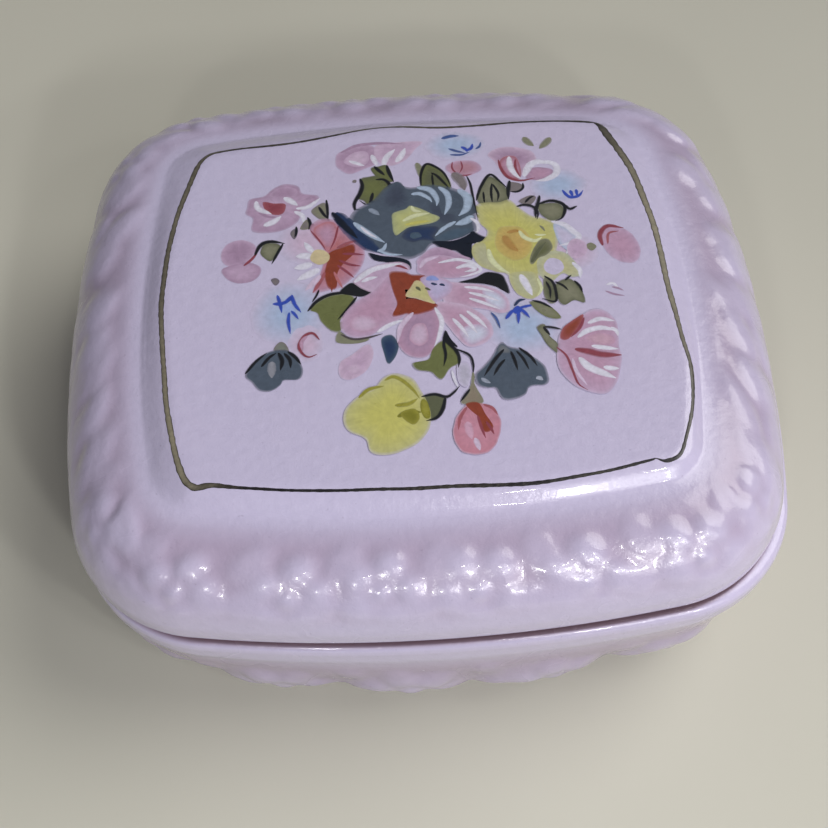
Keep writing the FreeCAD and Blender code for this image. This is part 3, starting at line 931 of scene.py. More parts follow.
DAISY = [
    ("patch", CORAL, PINK, [(-11.8, 9.6), (-10.8, 11.1), (-9.2, 11.1), (-8.2, 9.9), (-7.2, 8.8),
        (-6.2, 7.6), (-5.6, 5.8), (-6.0, 4.2), (-7.0, 2.6), (-8.4, 1.2), (-9.9, 0.8), (-11.6, 0.7),
        (-10.8, 3.0), (-10.2, 6.4)]),
    ("patch", PINK, CORAL, [(-11.4, 9.4), (-10.4, 10.6), (-9.0, 10.6), (-8.6, 8.6), (-9.8, 6.6)]),
    ("patch", RUST, RUST, [(-9.7, 6.2), (-8.2, 6.9), (-6.9, 7.3), (-6.8, 6.0), (-8.0, 4.6), (-8.8, 3.2),
        (-9.0, 1.1), (-9.9, 1.2), (-10.3, 3.0), (-10.0, 4.6)]),
    ("brush", RED, 0.24, [(-11.7, 9.6), (-10.6, 7.8), (-10.0, 6.5)]),
    ("brush", RED, 0.26, [(-8.5, 10.2), (-9.0, 8.0), (-9.6, 6.5)]),
    ("brush", RED_SOFT, 0.5, [(-8.8, 6.8), (-7.6, 7.4), (-6.5, 7.7)]),
    ("brush", RED, 0.4, [(-8.2, 5.9), (-7.0, 5.8), (-5.8, 5.6)]),
    ("brush", RED, 0.42, [(-8.6, 5.0), (-7.4, 4.3), (-6.2, 4.0)]),
    ("brush", RED, 0.4, [(-8.8, 4.3), (-7.8, 3.3), (-7.0, 2.4)]),
    ("brush", CORAL, 0.4, [(-9.2, 3.4), (-8.7, 2.0), (-8.3, 1.0)]),
    ("brush", RUST, 0.45, [(-9.6, 4.0), (-9.5, 2.2), (-9.5, 0.6)]),
    ("brush", RED_SOFT, 0.55, [(-10.2, 3.4), (-10.8, 2.0), (-11.6, 0.6)]),
    ("brush", WHITE, 0.75, [(-11.4, 6.3), (-11.9, 7.0), (-12.4, 7.9)]),
    ("brush", WHITE, 1.0, [(-11.6, 5.8), (-12.4, 5.9), (-13.4, 5.9)]),
    ("brush", WHITE, 1.0, [(-11.6, 4.7), (-12.5, 4.4), (-13.6, 4.2)]),
    ("brush", WHITE, 1.0, [(-10.8, 3.9), (-12.0, 3.2), (-13.3, 2.5)]),
    ("brush", ROSE_WHITE, 0.75, [(-10.7, 3.0), (-11.5, 2.0), (-12.4, 1.0)]),
    ("patch", SAND, SAND, [(-11.8, 5.8), (-11.2, 6.7), (-10.3, 6.6), (-9.6, 5.8), (-9.9, 4.8),
        (-10.8, 4.5), (-11.6, 5.0)]),
]
PEONY = [
    ("patch", SLATE, SLATE, [(-6.8, 12.2), (-4.5, 13.6), (-3.0, 15.4), (-1.6, 16.3), (-0.6, 15.4),
        (0.4, 15.2), (2.0, 15.5), (4.2, 15.1), (5.6, 14.5), (6.8, 13.4), (7.2, 11.5), (7.0, 9.6),
        (6.9, 8.2), (5.2, 7.3), (3.4, 6.8), (1.8, 6.4), (0.8, 5.2), (-0.8, 4.5), (-2.4, 5.0), (-3.8, 5.8),
        (-5.2, 7.0), (-6.6, 8.6), (-7.4, 10.2)]),
    ("brush", NAVY, 2.0, [(-8.8, 12.0), (-7.3, 9.7), (-5.5, 7.2), (-3.6, 5.6)]),
    ("brush", INK_BLUE, 0.9, [(-9.2, 12.1), (-8.0, 10.2), (-6.4, 8.0)]),
    ("patch", SLATE_DARK, SLATE, [(-3.4, 13.2), (-2.4, 15.6), (-1.2, 16.2), (-0.4, 14.2), (-0.8, 12.4),
        (-2.4, 12.2)]),
    ("patch", SLATE_DARK, SLATE, [(1.8, 12.6), (3.0, 12.6), (3.4, 11.0), (4.8, 10.8), (5.0, 9.6),
        (3.6, 9.2), (2.6, 10.0), (2.0, 11.2)]),
    ("patch", STEEL, SLATE, [(2.0, 7.2), (3.4, 6.9), (5.4, 7.4), (6.8, 8.4), (5.6, 8.8), (4.2, 8.6),
        (2.6, 7.8)]),
    ("patch", NAVY, SLATE_DARK, [(-1.5, 7.9), (-0.4, 9.2), (1.0, 9.3), (2.8, 9.0), (2.2, 7.6), (2.4, 7.0),
        (0.8, 7.2), (-0.4, 7.0)]),
    ("brush", STEEL, 1.0, [(-0.5, 7.8), (0.2, 8.0), (0.8, 7.8)]),
    ("patch", (196, 198, 132), (176, 182, 140), [(-2.3, 11.4), (-0.8, 12.0), (-0.2, 12.5), (1.0, 11.9),
        (2.0, 11.2), (3.1, 10.4), (2.2, 9.7), (0.6, 9.4), (-0.6, 9.2), (-1.4, 8.6), (-2.2, 8.1),
        (-2.4, 9.6)]),
    ("brush", CREAM, 0.6, [(-1.2, 10.2), (0.2, 10.9), (1.9, 11.2)]),
    ("brush", CREAM, 0.5, [(-0.1, 12.4), (0.2, 11.7), (1.0, 11.5)]),
    ("brush", YELLOW, 0.6, [(-1.0, 9.6), (0.6, 9.9), (2.0, 10.0)]),
    ("brush", PALE_BLUE, 0.8, [(0.7, 15.2), (2.2, 14.7), (2.9, 13.2), (2.8, 12.2)]),
    ("brush", PALE_BLUE, 0.6, [(0.0, 14.2), (1.0, 14.2), (2.0, 13.4), (2.3, 12.8)]),
    ("brush", PALE_BLUE, 0.8, [(3.2, 15.1), (4.1, 14.0), (4.2, 12.4), (3.6, 10.8)]),
    ("brush", PALE_BLUE, 1.1, [(5.4, 14.5), (6.4, 13.3), (6.2, 11.6), (5.2, 10.5)]),
    ("brush", SLATE, 0.22, [(5.0, 14.0), (5.6, 12.8), (5.3, 11.2)]),
    ("brush", PALE_BLUE, 0.55, [(4.8, 9.7), (3.4, 8.8), (2.3, 7.7)]),
    ("brush", PALE_BLUE, 1.0, [(6.8, 10.4), (6.0, 9.7), (4.7, 9.2)]),
    ("brush", WHITE, 0.5, [(6.5, 10.1), (7.2, 9.3), (7.2, 8.2), (6.8, 7.8)]),
    ("brush", PALE_BLUE, 0.8, [(-6.8, 10.4), (-5.7, 9.2), (-4.4, 8.0), (-3.4, 7.2)]),
    ("brush", WHITE, 0.4, [(-6.0, 9.7), (-5.2, 8.7), (-4.2, 7.9)]),
    ("brush", (150, 162, 182), 0.7, [(-5.0, 12.3), (-4.3, 11.8), (-3.8, 11.3)]),
    ("brush", PALE_BLUE, 0.5, [(-4.3, 6.0), (-3.6, 6.2), (-3.2, 7.1)]),
    ("brush", PALE_BLUE, 0.4, [(-4.2, 6.1), (-2.9, 5.4), (-1.5, 5.3)]),
    ("patch", INK_BLUE, INK_BLUE, [(1.9, 6.9), (4.2, 6.9), (6.0, 7.6), (6.6, 8.1), (7.6, 7.4), (8.6, 6.8),
        (8.4, 6.4), (7.2, 6.4), (6.4, 6.2), (6.2, 4.0), (5.2, 4.6), (4.4, 5.4), (3.2, 5.6)]),
    ("patch", INK_BLUE, INK_BLUE, [(-5.3, 5.8), (-3.8, 5.3), (-2.0, 4.9), (-0.8, 4.3), (-0.6, 3.1),
        (-1.6, 3.4), (-3.0, 4.2), (-4.7, 4.7)]),
]
YELLOW_FLOWER = [
    ("patch", YELLOW, YELLOW_SOFT, [(7.4, 12.0), (8.6, 12.3), (10.0, 12.2), (11.2, 12.5), (12.2, 11.2),
        (13.4, 10.0), (14.4, 9.6), (15.6, 9.0), (16.2, 8.0), (16.0, 6.0), (15.6, 4.6), (15.0, 3.0),
        (13.4, 1.2), (12.4, 0.4), (10.6, 1.0), (9.2, 2.2), (7.8, 3.2), (6.4, 4.2), (6.4, 6.0), (7.6, 6.7),
        (8.2, 8.0), (7.4, 9.4), (7.3, 10.8)]),
    ("patch", (188, 188, 156), YELLOW_SOFT, [(6.3, 5.6), (6.8, 6.4), (7.8, 6.2), (8.0, 4.6), (8.8, 3.0),
        (9.8, 1.9), (8.6, 2.1), (7.0, 3.0), (6.4, 4.2)]),
    ("patch", (200, 196, 150), (190, 194, 170), [(13.4, 3.4), (15.2, 4.6), (16.8, 4.1), (17.7, 2.5),
        (18.1, 1.1), (17.0, 0.7), (16.0, 1.3), (14.6, 0.3), (13.4, 1.2)]),
    ("patch", GLAZE, GLAZE, [(14.0, 2.6), (14.8, 3.6), (15.9, 3.2), (16.2, 2.0), (15.2, 1.2),
        (14.2, 1.6)]),
    ("patch", (190, 192, 160), YELLOW_SOFT, [(10.0, 1.4), (11.0, 1.9), (12.8, 1.7), (13.5, 0.2),
        (13.3, -1.2), (12.2, -2.0), (11.0, -1.5), (10.3, -0.4)]),
    ("patch", GLAZE, PALE_BLUE, [(15.8, 8.6), (17.0, 8.0), (18.2, 6.8), (18.0, 5.6), (17.2, 4.4),
        (16.2, 5.4), (15.8, 7.0)]),
    ("patch", AMBER, (206, 190, 112), [(9.5, 8.3), (10.8, 8.6), (12.0, 8.3), (12.9, 7.0), (13.1, 5.4),
        (12.2, 3.9), (10.8, 3.5), (9.5, 4.5), (8.9, 6.0)]),
    ("brush", (188, 146, 84), 1.2, [(10.0, 7.2), (10.6, 5.8), (11.4, 4.8)]),
    ("brush", (188, 146, 84), 0.6, [(10.4, 7.6), (11.4, 7.8), (12.0, 7.6)]),
    ("brush", CREAM, 0.6, [(11.8, 7.8), (12.3, 6.8), (13.4, 6.2), (14.3, 6.7)]),
    ("brush", CREAM, 0.35, [(13.5, 7.1), (14.1, 7.0), (14.8, 7.0)]),
    ("patch", (104, 108, 74), OLIVE_GREY, [(12.5, 3.3), (13.0, 4.8), (14.0, 6.3), (15.0, 6.3),
        (15.3, 5.0), (14.4, 4.0), (13.6, 3.7), (12.8, 2.8)]),
    ("brush", OLIVE_DARK, 0.55, [(12.7, 3.1), (13.6, 4.7), (14.6, 5.9)]),
    ("brush", OLIVE_GREY, 0.32, [(14.2, 8.4), (14.5, 8.0), (14.7, 7.5)]),
    ("brush", CREAM, 0.7, [(8.1, 5.4), (8.3, 3.9), (9.1, 2.6), (10.1, 1.8)]),
    ("brush", WHITE, 0.95, [(11.3, 1.5), (11.8, 0.0), (12.3, -1.5)]),
    ("brush", CREAM, 0.4, [(13.1, 0.8), (13.4, -0.6), (12.8, -1.7)]),
    ("brush", WHITE, 0.8, [(15.6, 8.9), (17.0, 8.3), (17.9, 7.2), (18.4, 6.5), (17.8, 5.7), (16.0, 5.3)]),
    ("brush", WHITE, 0.7, [(17.7, 5.9), (17.4, 5.0), (16.7, 4.1)]),
    ("brush", WHITE, 0.6, [(17.2, 2.8), (17.9, 1.7), (17.8, 0.5)]),
]
LEAF_RIGHT = [
    ("patch", OLIVE_GREY, OLIVE_DARK, [(14.3, 11.4), (15.4, 11.7), (16.8, 11.5), (17.3, 10.4),
        (16.7, 9.3), (15.6, 9.0), (14.5, 10.0)]),
    ("patch", GREY_LEAF, GREY_LEAF, [(12.2, 12.2), (13.6, 13.0), (14.3, 12.6), (13.4, 11.5)]),
    ("brush", INK, 0.45, [(11.9, 11.4), (12.8, 11.6), (13.8, 11.2), (14.2, 10.2), (14.0, 9.3)]),
    ("brush", INK, 0.5, [(14.7, 12.9), (14.4, 11.8), (14.0, 10.6), (13.9, 9.5)]),
    ("brush", INK, 0.35, [(12.9, 11.9), (13.5, 12.6), (14.1, 12.9)]),
    ("brush", INK, 0.5, [(14.4, 11.6), (15.8, 12.0), (17.0, 11.6), (17.4, 10.8), (16.9, 9.4),
        (16.0, 8.9)]),
    ("brush", INK, 0.45, [(17.4, 11.3), (17.9, 10.6), (18.8, 11.0)]),
]
BUD_RIGHT = [
    ("patch", PINK, PINK_SOFT, [(20.8, 6.6), (21.4, 7.6), (22.6, 7.7), (24.0, 7.0), (24.8, 5.6),
        (25.0, 3.8), (24.2, 2.4), (22.8, 2.4), (21.6, 3.4), (20.9, 5.0)]),
    ("brush", RED, 0.65, [(20.9, 5.0), (20.8, 6.6), (21.8, 7.8), (23.6, 7.4)]),
    ("brush", RED_SOFT, 0.35, [(21.5, 5.2), (21.8, 6.7), (23.0, 7.0)]),
    ("patch", OLIVE_GREY, OLIVE_GREY, [(19.0, 5.0), (19.6, 5.5), (20.2, 4.9), (19.6, 4.3)]),
    ("patch", PINK_SOFT, PINK_LIGHT, [(16.9, 5.2), (17.8, 6.2), (19.0, 5.6), (19.0, 4.0), (17.9, 3.2),
        (17.0, 3.8)]),
    ("brush", WHITE, 0.38, [(20.5, -0.6), (21.3, -0.4), (21.8, -1.2)]),
    ("brush", MAUVE, 0.3, [(20.3, -1.4), (21.2, -1.9), (22.3, -2.2)]),
    ("brush", MAUVE, 0.3, [(21.1, -0.9), (21.7, -1.1), (22.3, -1.5)]),
]
BIG_FLOWER = [
    ("patch", MAUVE, PINK_SOFT, [(0.0, 3.8), (1.0, 5.4), (2.4, 6.1), (4.0, 5.5), (5.2, 4.7), (6.0, 4.0),
        (3.0, 3.0)]),
    ("patch", INK, INK, [(4.4, 0.9), (6.2, 1.4), (7.6, 2.1), (9.2, 1.7), (9.7, 0.6), (9.9, -1.1),
        (8.8, -0.2), (7.4, 0.4), (5.8, 0.7)]),
    ("patch", PINK, PINK_SOFT, [(0.2, 2.4), (0.1, 3.8), (1.0, 4.6), (2.6, 4.9), (4.6, 4.3), (6.4, 3.5),
        (7.1, 2.4), (6.2, 1.7), (4.6, 1.5), (3.0, 1.6)]),
    ("patch", PINK_SOFT, PINK_LIGHT, [(-7.1, 1.6), (-6.4, 2.8), (-4.6, 3.9), (-2.6, 4.3), (-1.2, 4.0),
        (-0.8, 3.0), (-2.6, 2.4), (-4.2, 1.2), (-5.2, 0.2)]),
    ("patch", PINK, PINK_SOFT, [(-2.8, 2.6), (-5.0, 0.4), (-7.2, -1.2), (-8.6, -3.2), (-8.6, -4.8),
        (-7.4, -5.8), (-5.6, -5.7), (-4.0, -4.6), (-2.4, -3.8), (-1.6, -3.0), (-2.2, -1.0)]),
    ("patch", PINK_LIGHT, PINK, [(-7.6, -3.4), (-6.6, -2.8), (-5.0, -3.4), (-4.6, -4.6), (-6.4, -5.2),
        (-7.6, -4.6)]),
    ("patch", PINK, PINK_LIGHT, [(3.0, 0.9), (5.2, 0.7), (7.2, 0.3), (8.8, -0.6), (9.7, -2.0),
        (9.6, -3.4), (8.6, -3.7), (7.2, -3.1), (5.2, -2.6), (2.6, -1.6)]),
    ("patch", PINK, PINK_LIGHT, [(1.8, -1.6), (4.6, -2.2), (6.4, -3.4), (7.5, -5.0), (7.5, -6.6),
        (6.2, -7.7), (4.8, -7.9), (3.8, -6.8), (2.8, -5.0), (2.0, -3.4)]),
    ("patch", MAUVE, PINK, [(-1.2, -2.8), (1.4, -2.4), (2.0, -4.2), (1.6, -6.4), (0.8, -8.4),
        (-0.4, -9.0), (-1.8, -8.4), (-2.7, -6.8), (-2.4, -4.8)]),
    ("patch", PINK_LIGHT, PINK, [(-0.8, -4.6), (0.4, -4.6), (0.6, -6.6), (-0.4, -7.4), (-1.4, -6.4)]),
    ("patch", (214, 218, 240), PINK_SOFT, [(4.0, -5.8), (5.2, -5.0), (6.8, -5.2), (7.2, -6.4),
        (6.0, -7.4), (4.8, -7.6)]),
    ("patch", (214, 220, 242), PINK_SOFT, [(7.0, -0.2), (8.4, -0.7), (9.4, -2.0), (9.3, -3.2),
        (8.4, -3.2), (7.2, -2.0)]),
    ("patch", RUST, RUST, [(-3.1, 2.8), (-1.6, 2.9), (-0.6, 2.4), (0.9, 2.1), (0.2, 1.4), (-0.6, 0.8),
        (-1.4, -0.6), (-0.2, -1.2), (1.2, -1.7), (2.0, -2.1), (1.2, -2.8), (-0.4, -3.2), (-1.6, -3.1),
        (-3.1, -3.3), (-2.5, -1.6), (-2.9, 0.4)]),
    ("patch", (202, 198, 140), SAND, [(-1.5, -0.6), (-0.9, 0.6), (-0.2, 1.5), (0.8, 0.9), (1.2, -0.2),
        (1.7, -1.8), (0.8, -1.6), (-0.4, -1.0)]),
    ("patch", (198, 190, 226), PINK_SOFT, [(0.2, 1.7), (1.2, 2.1), (2.6, 1.7), (3.7, 0.8), (3.5, -0.4),
        (2.6, -1.2), (1.7, -1.7), (1.1, -0.8), (0.8, 0.4)]),
    ("brush", (150, 166, 228), 0.8, [(0.9, 1.5), (1.5, 1.7), (2.3, 1.4)]),
    ("brush", OLIVE_DARK, 0.42, [(-0.3, 0.6), (0.0, 0.3), (0.2, 0.0)]),
    ("brush", OLIVE_DARK, 0.36, [(0.7, 0.4), (1.0, 0.2), (1.3, 0.0)]),
    ("brush", NAVY, 0.36, [(1.4, 1.0), (1.8, 0.8), (2.1, 0.8)]),
    ("brush", NAVY, 0.36, [(2.3, 0.7), (2.6, 0.7), (2.9, 0.5)]),
    ("brush", RED, 0.35, [(-2.6, 3.8), (-1.8, 3.6), (-1.0, 3.1)]),
    ("brush", ROSE_WHITE, 0.55, [(0.3, 3.2), (1.0, 4.2), (2.5, 4.7)]),
    ("brush", WHITE, 0.5, [(2.4, 3.8), (4.6, 4.1), (6.3, 3.4), (7.0, 2.4), (5.7, 1.8), (4.6, 1.6)]),
    ("brush", WHITE, 0.6, [(4.3, 2.9), (5.6, 3.2), (6.4, 2.6), (5.2, 2.3)]),
    ("brush", WHITE, 0.75, [(-7.0, 1.7), (-5.2, 3.2), (-3.2, 3.8), (-1.6, 4.0)]),
    ("brush", WHITE, 0.5, [(-6.2, 1.7), (-5.4, 2.1), (-4.4, 2.3)]),
    ("brush", WHITE, 0.6, [(-4.8, -5.3), (-3.4, -4.4), (-1.9, -3.8)]),
    ("brush", (84, 74, 78), 0.3, [(-8.7, -5.3), (-7.4, -6.0), (-5.8, -5.9), (-4.2, -5.5)]),
    ("brush", ROSE_WHITE, 0.65, [(-0.8, -2.9), (-2.2, -4.7), (-2.7, -6.8)]),
    ("brush", WHITE, 0.6, [(1.6, -2.4), (2.2, -4.3), (1.8, -6.2), (1.2, -7.6)]),
    ("brush", MAUVE, 0.3, [(-0.4, -3.6), (-1.4, -5.4), (-1.5, -7.2)]),
    ("brush", WHITE, 0.5, [(3.4, -4.0), (4.3, -5.4), (4.9, -6.6)]),
    ("brush", WHITE, 0.5, [(4.2, -3.5), (5.2, -4.9), (5.9, -6.2)]),
    ("brush", WHITE, 0.5, [(5.0, -3.1), (6.2, -4.4), (7.0, -5.6)]),
    ("brush", WHITE, 0.45, [(5.0, 0.2), (6.6, -0.1), (8.2, -0.7)]),
    ("brush", WHITE, 0.45, [(5.4, -0.6), (7.0, -1.2), (8.6, -2.0)]),
    ("brush", WHITE, 0.45, [(5.4, -1.4), (7.0, -2.2), (8.6, -3.1)]),
]
LEAF_LEFT = [
    ("patch", OLIVE, OLIVE, [(-12.0, -1.7), (-11.0, -0.6), (-9.6, 0.1), (-7.8, 0.2), (-7.0, -0.6),
        (-8.0, -2.2), (-8.7, -3.4), (-8.7, -4.9), (-9.8, -4.7), (-10.8, -3.4), (-11.2, -2.2)]),
    ("patch", OLIVE_GREY, OLIVE_GREY, [(-8.9, -4.8), (-9.3, -6.2), (-7.6, -6.6), (-6.0, -6.4),
        (-5.7, -5.9), (-7.4, -5.9), (-8.4, -5.3)]),
    ("patch", INK, INK, [(-8.7, 0.5), (-7.4, 1.7), (-6.2, 1.1), (-4.8, 0.6), (-6.0, -0.3), (-7.4, -0.1)]),
    ("brush", INK, 0.5, [(-12.2, -1.9), (-11.2, -0.6), (-9.8, 0.2), (-8.0, 0.4), (-6.4, 0.4)]),
    ("brush", INK, 0.4, [(-6.8, -0.3), (-7.8, -1.8), (-9.0, -3.3)]),
    ("brush", INK, 0.3, [(-10.9, 1.0), (-11.2, 0.2), (-11.7, -0.7)]),
]
FORGET_ME_NOTS = [
    ("patch", (168, 188, 236), BLUE_WASH, [(-15.2, -1.0), (-14.2, -0.4), (-13.4, -1.2), (-13.6, -2.4),
        (-14.6, -2.4)]),
    ("brush", BLUE, 0.5, [(-15.5, 0.6), (-15.2, -0.6), (-15.0, -1.9)]),
    ("brush", BLUE, 0.55, [(-16.0, -0.6), (-15.0, -0.6), (-13.9, -0.1)]),
    ("brush", BLUE, 0.5, [(-14.7, -0.6), (-14.2, 0.0), (-13.8, 0.5)]),
    ("brush", BLUE, 0.5, [(-13.9, 0.5), (-13.6, -0.8), (-12.9, -2.0)]),
    ("brush", BLUE, 0.45, [(-14.2, -1.9), (-14.3, -3.2), (-14.1, -4.8)]),
    ("brush", BLUE, 0.4, [(-14.0, -1.7), (-13.6, -2.2), (-13.2, -2.9)]),
    ("brush", BLUE, 0.5, [(9.1, -4.5), (9.8, -3.6), (10.5, -3.2)]),
    ("brush", BLUE, 0.5, [(10.4, -3.0), (11.1, -3.6), (11.7, -4.5)]),
    ("brush", BLUE, 0.5, [(10.6, -3.0), (10.5, -4.2), (10.4, -5.2)]),
    ("brush", BLUE, 0.4, [(10.7, -3.1), (11.7, -2.9), (12.4, -2.8)]),
    ("brush", NAVY, 0.42, [(10.2, -2.8), (10.8, -2.1), (11.5, -2.0)]),
    ("brush", BLUE_DARK, 0.36, [(7.6, -3.5), (8.1, -4.4), (8.4, -5.7)]),
    ("patch", BLUE, BLUE, [(10.1, -3.1), (10.6, -2.8), (11.0, -3.4), (10.5, -3.9), (10.0, -3.7)]),
]
LEAVES_RIGHT = [
    ("patch", OLIVE_DARK, OLIVE_GREY, [(13.6, -1.8), (13.7, 0.4), (14.2, 1.0), (15.0, -0.6), (14.9, -2.4),
        (14.2, -2.8)]),
    ("patch", OLIVE_GREY, OLIVE_DARK, [(15.0, -0.1), (16.4, 0.6), (17.2, 0.0), (17.8, -1.2), (17.9, -2.9),
        (16.8, -2.5), (15.6, -3.1), (15.0, -2.2)]),
    ("patch", OLIVE_GREY, OLIVE, [(11.9, -2.3), (13.4, -2.7), (14.4, -3.5), (15.1, -4.8), (13.8, -4.7),
        (12.6, -3.7)]),
    ("brush", INK, 0.4, [(13.9, 1.1), (14.7, 0.2), (14.9, -1.2), (14.7, -2.5), (13.3, -2.0)]),
    ("brush", INK, 0.35, [(14.0, 0.3), (14.3, -0.8), (14.2, -2.1)]),
    ("brush", INK, 0.32, [(15.0, 0.2), (15.8, -0.4), (16.3, -1.1)]),
    ("brush", INK, 0.3, [(16.1, 0.3), (16.5, 0.7), (16.9, 1.0)]),
    ("brush", INK, 0.36, [(17.1, 0.2), (17.6, -0.6), (17.8, -1.5)]),
    ("brush", INK, 0.36, [(12.2, -2.2), (13.2, -2.6), (14.3, -3.4)]),
]
TULIP = [
    ("patch", OLIVE_GREY, OLIVE_DARK, [(12.3, -5.8), (13.2, -5.5), (13.5, -7.0), (14.3, -8.2),
        (14.3, -9.6), (13.2, -8.3), (12.6, -6.8)]),
    ("patch", PINK, PINK_SOFT, [(14.6, -7.0), (15.6, -6.0), (17.0, -4.8), (18.6, -3.9), (20.0, -4.3),
        (20.9, -5.6), (20.9, -7.2), (20.7, -9.0), (20.8, -10.4), (20.4, -12.0), (19.8, -13.5),
        (18.6, -14.8), (17.2, -14.7), (15.6, -13.8), (14.3, -12.0), (13.9, -10.4), (14.2, -8.6)]),
    ("patch", (206, 170, 190), PINK, [(17.2, -7.6), (18.8, -7.0), (20.3, -7.6), (20.2, -8.6),
        (18.4, -8.6)]),
    ("patch", RUST, RED_SOFT, [(14.6, -7.5), (15.0, -6.2), (16.2, -5.2), (17.5, -4.4), (17.2, -5.4),
        (16.4, -6.6), (15.4, -7.7)]),
    ("brush", RED, 0.4, [(17.5, -4.9), (16.9, -6.2), (15.8, -7.4)]),
    ("brush", WHITE, 0.6, [(17.8, -5.7), (19.2, -5.2), (20.7, -5.6)]),
    ("brush", WHITE, 0.7, [(16.5, -7.5), (17.6, -6.7), (19.2, -6.4), (20.8, -6.9)]),
    ("brush", WHITE, 0.5, [(20.2, -6.4), (20.7, -6.9), (20.8, -7.6)]),
    ("brush", WHITE, 0.6, [(17.8, -8.7), (19.0, -9.0), (20.6, -9.3)]),
    ("brush", RED, 0.9, [(16.0, -9.0), (17.4, -9.4), (18.8, -9.9), (20.8, -10.1)]),
    ("brush", WHITE, 0.95, [(16.3, -10.1), (17.2, -11.4), (18.8, -12.4), (19.8, -13.0)]),
    ("brush", WHITE, 0.65, [(18.7, -11.5), (19.4, -11.7), (20.3, -11.8)]),
    ("brush", ROSE_WHITE, 0.4, [(15.6, -10.2), (15.8, -11.8), (16.7, -13.7)]),
    ("brush", RED, 0.32, [(14.1, -8.6), (15.0, -9.8), (15.4, -11.6), (15.8, -13.4), (16.7, -14.3)]),
    ("brush", INK, 0.4, [(13.0, -5.8), (13.3, -6.4), (13.6, -7.0)]),
    ("brush", INK, 0.36, [(13.1, -5.8), (14.0, -6.0), (14.9, -6.3)]),
]
SLATE_BUD_RIGHT = [
    ("patch", SLATE, SLATE, [(8.3, -7.6), (9.0, -8.1), (10.4, -8.6), (11.6, -9.8), (12.6, -11.0),
        (12.9, -12.6), (12.4, -13.3), (11.2, -13.3), (10.6, -13.6), (10.2, -14.4), (9.0, -14.9),
        (7.8, -14.7), (7.2, -13.4), (6.2, -13.3), (5.3, -12.8), (5.2, -11.6), (6.1, -10.6), (7.2, -9.2)]),
    ("patch", (120, 124, 130), SLATE, [(8.2, -7.8), (9.0, -8.3), (9.2, -9.0), (8.2, -9.0), (7.7, -8.7)]),
    ("brush", INK, 0.45, [(8.5, -8.5), (7.4, -9.8), (6.1, -11.8)]),
    ("brush", INK, 0.4, [(8.5, -9.8), (7.8, -10.6), (7.1, -11.8)]),
    ("brush", INK, 0.42, [(9.2, -8.8), (9.5, -10.0), (9.7, -11.3)]),
    ("brush", INK, 0.38, [(9.8, -8.8), (10.4, -9.8), (10.9, -11.3)]),
    ("brush", INK, 0.42, [(10.1, -8.4), (11.2, -9.6), (11.8, -10.9)]),
    ("brush", (160, 168, 186), 0.5, [(5.8, -12.0), (6.1, -12.3), (6.7, -12.7)]),
    ("brush", (180, 186, 204), 0.55, [(11.5, -12.5), (11.8, -12.4), (12.2, -12.7)]),
]
SLATE_BUD_LEFT = [
    ("patch", (128, 134, 126), GREY_LEAF, [(-15.9, -6.9), (-15.3, -5.8), (-14.6, -6.1), (-14.3, -7.3)]),
    ("patch", SLATE, SLATE, [(-18.9, -9.9), (-18.0, -8.4), (-16.8, -7.2), (-15.4, -6.8), (-14.2, -7.1),
        (-13.2, -8.4), (-12.8, -9.8), (-13.3, -10.8), (-14.8, -10.8), (-15.2, -11.4), (-16.2, -12.1),
        (-17.4, -11.9), (-18.2, -10.8)]),
    ("brush", (150, 152, 164), 0.95, [(-16.1, -8.3), (-16.1, -9.3), (-16.1, -10.4)]),
    ("brush", INK, 0.4, [(-18.9, -9.7), (-17.8, -8.2), (-16.6, -7.1)]),
    ("brush", INK, 0.42, [(-17.2, -8.9), (-16.4, -7.8), (-15.6, -7.2)]),
    ("brush", INK, 0.55, [(-15.4, -7.2), (-15.0, -8.3), (-15.2, -9.5)]),
    ("brush", INK, 0.48, [(-14.8, -7.3), (-14.2, -8.2), (-14.1, -9.3)]),
    ("brush", INK, 0.48, [(-14.4, -7.1), (-13.6, -7.9), (-13.0, -8.9)]),
]
CURL = [
    ("brush", RED, 0.42, [(-11.0, -5.8), (-11.7, -4.9), (-12.6, -5.2), (-13.2, -6.4), (-12.9, -7.4),
        (-12.2, -8.0), (-11.3, -7.7)]),
    ("brush", PINK, 0.5, [(-12.3, -5.2), (-12.9, -6.0), (-12.8, -7.2)]),
]
LOWER_BUDS = [
    ("patch", NAVY, STEEL, [(-4.4, -6.1), (-3.2, -5.7), (-2.6, -7.2), (-3.0, -8.6), (-3.8, -9.5),
        (-4.2, -8.2)]),
    ("patch", PINK_SOFT, PINK_LIGHT, [(-9.1, -10.2), (-8.8, -8.8), (-7.6, -8.0), (-6.4, -7.0),
        (-5.6, -6.8), (-5.3, -8.2), (-6.0, -10.0), (-7.4, -11.1), (-8.6, -11.1)]),
    ("patch", PINK_LIGHT, PINK_SOFT, [(-8.4, -9.8), (-7.4, -9.2), (-6.6, -9.8), (-7.4, -10.6)]),
]
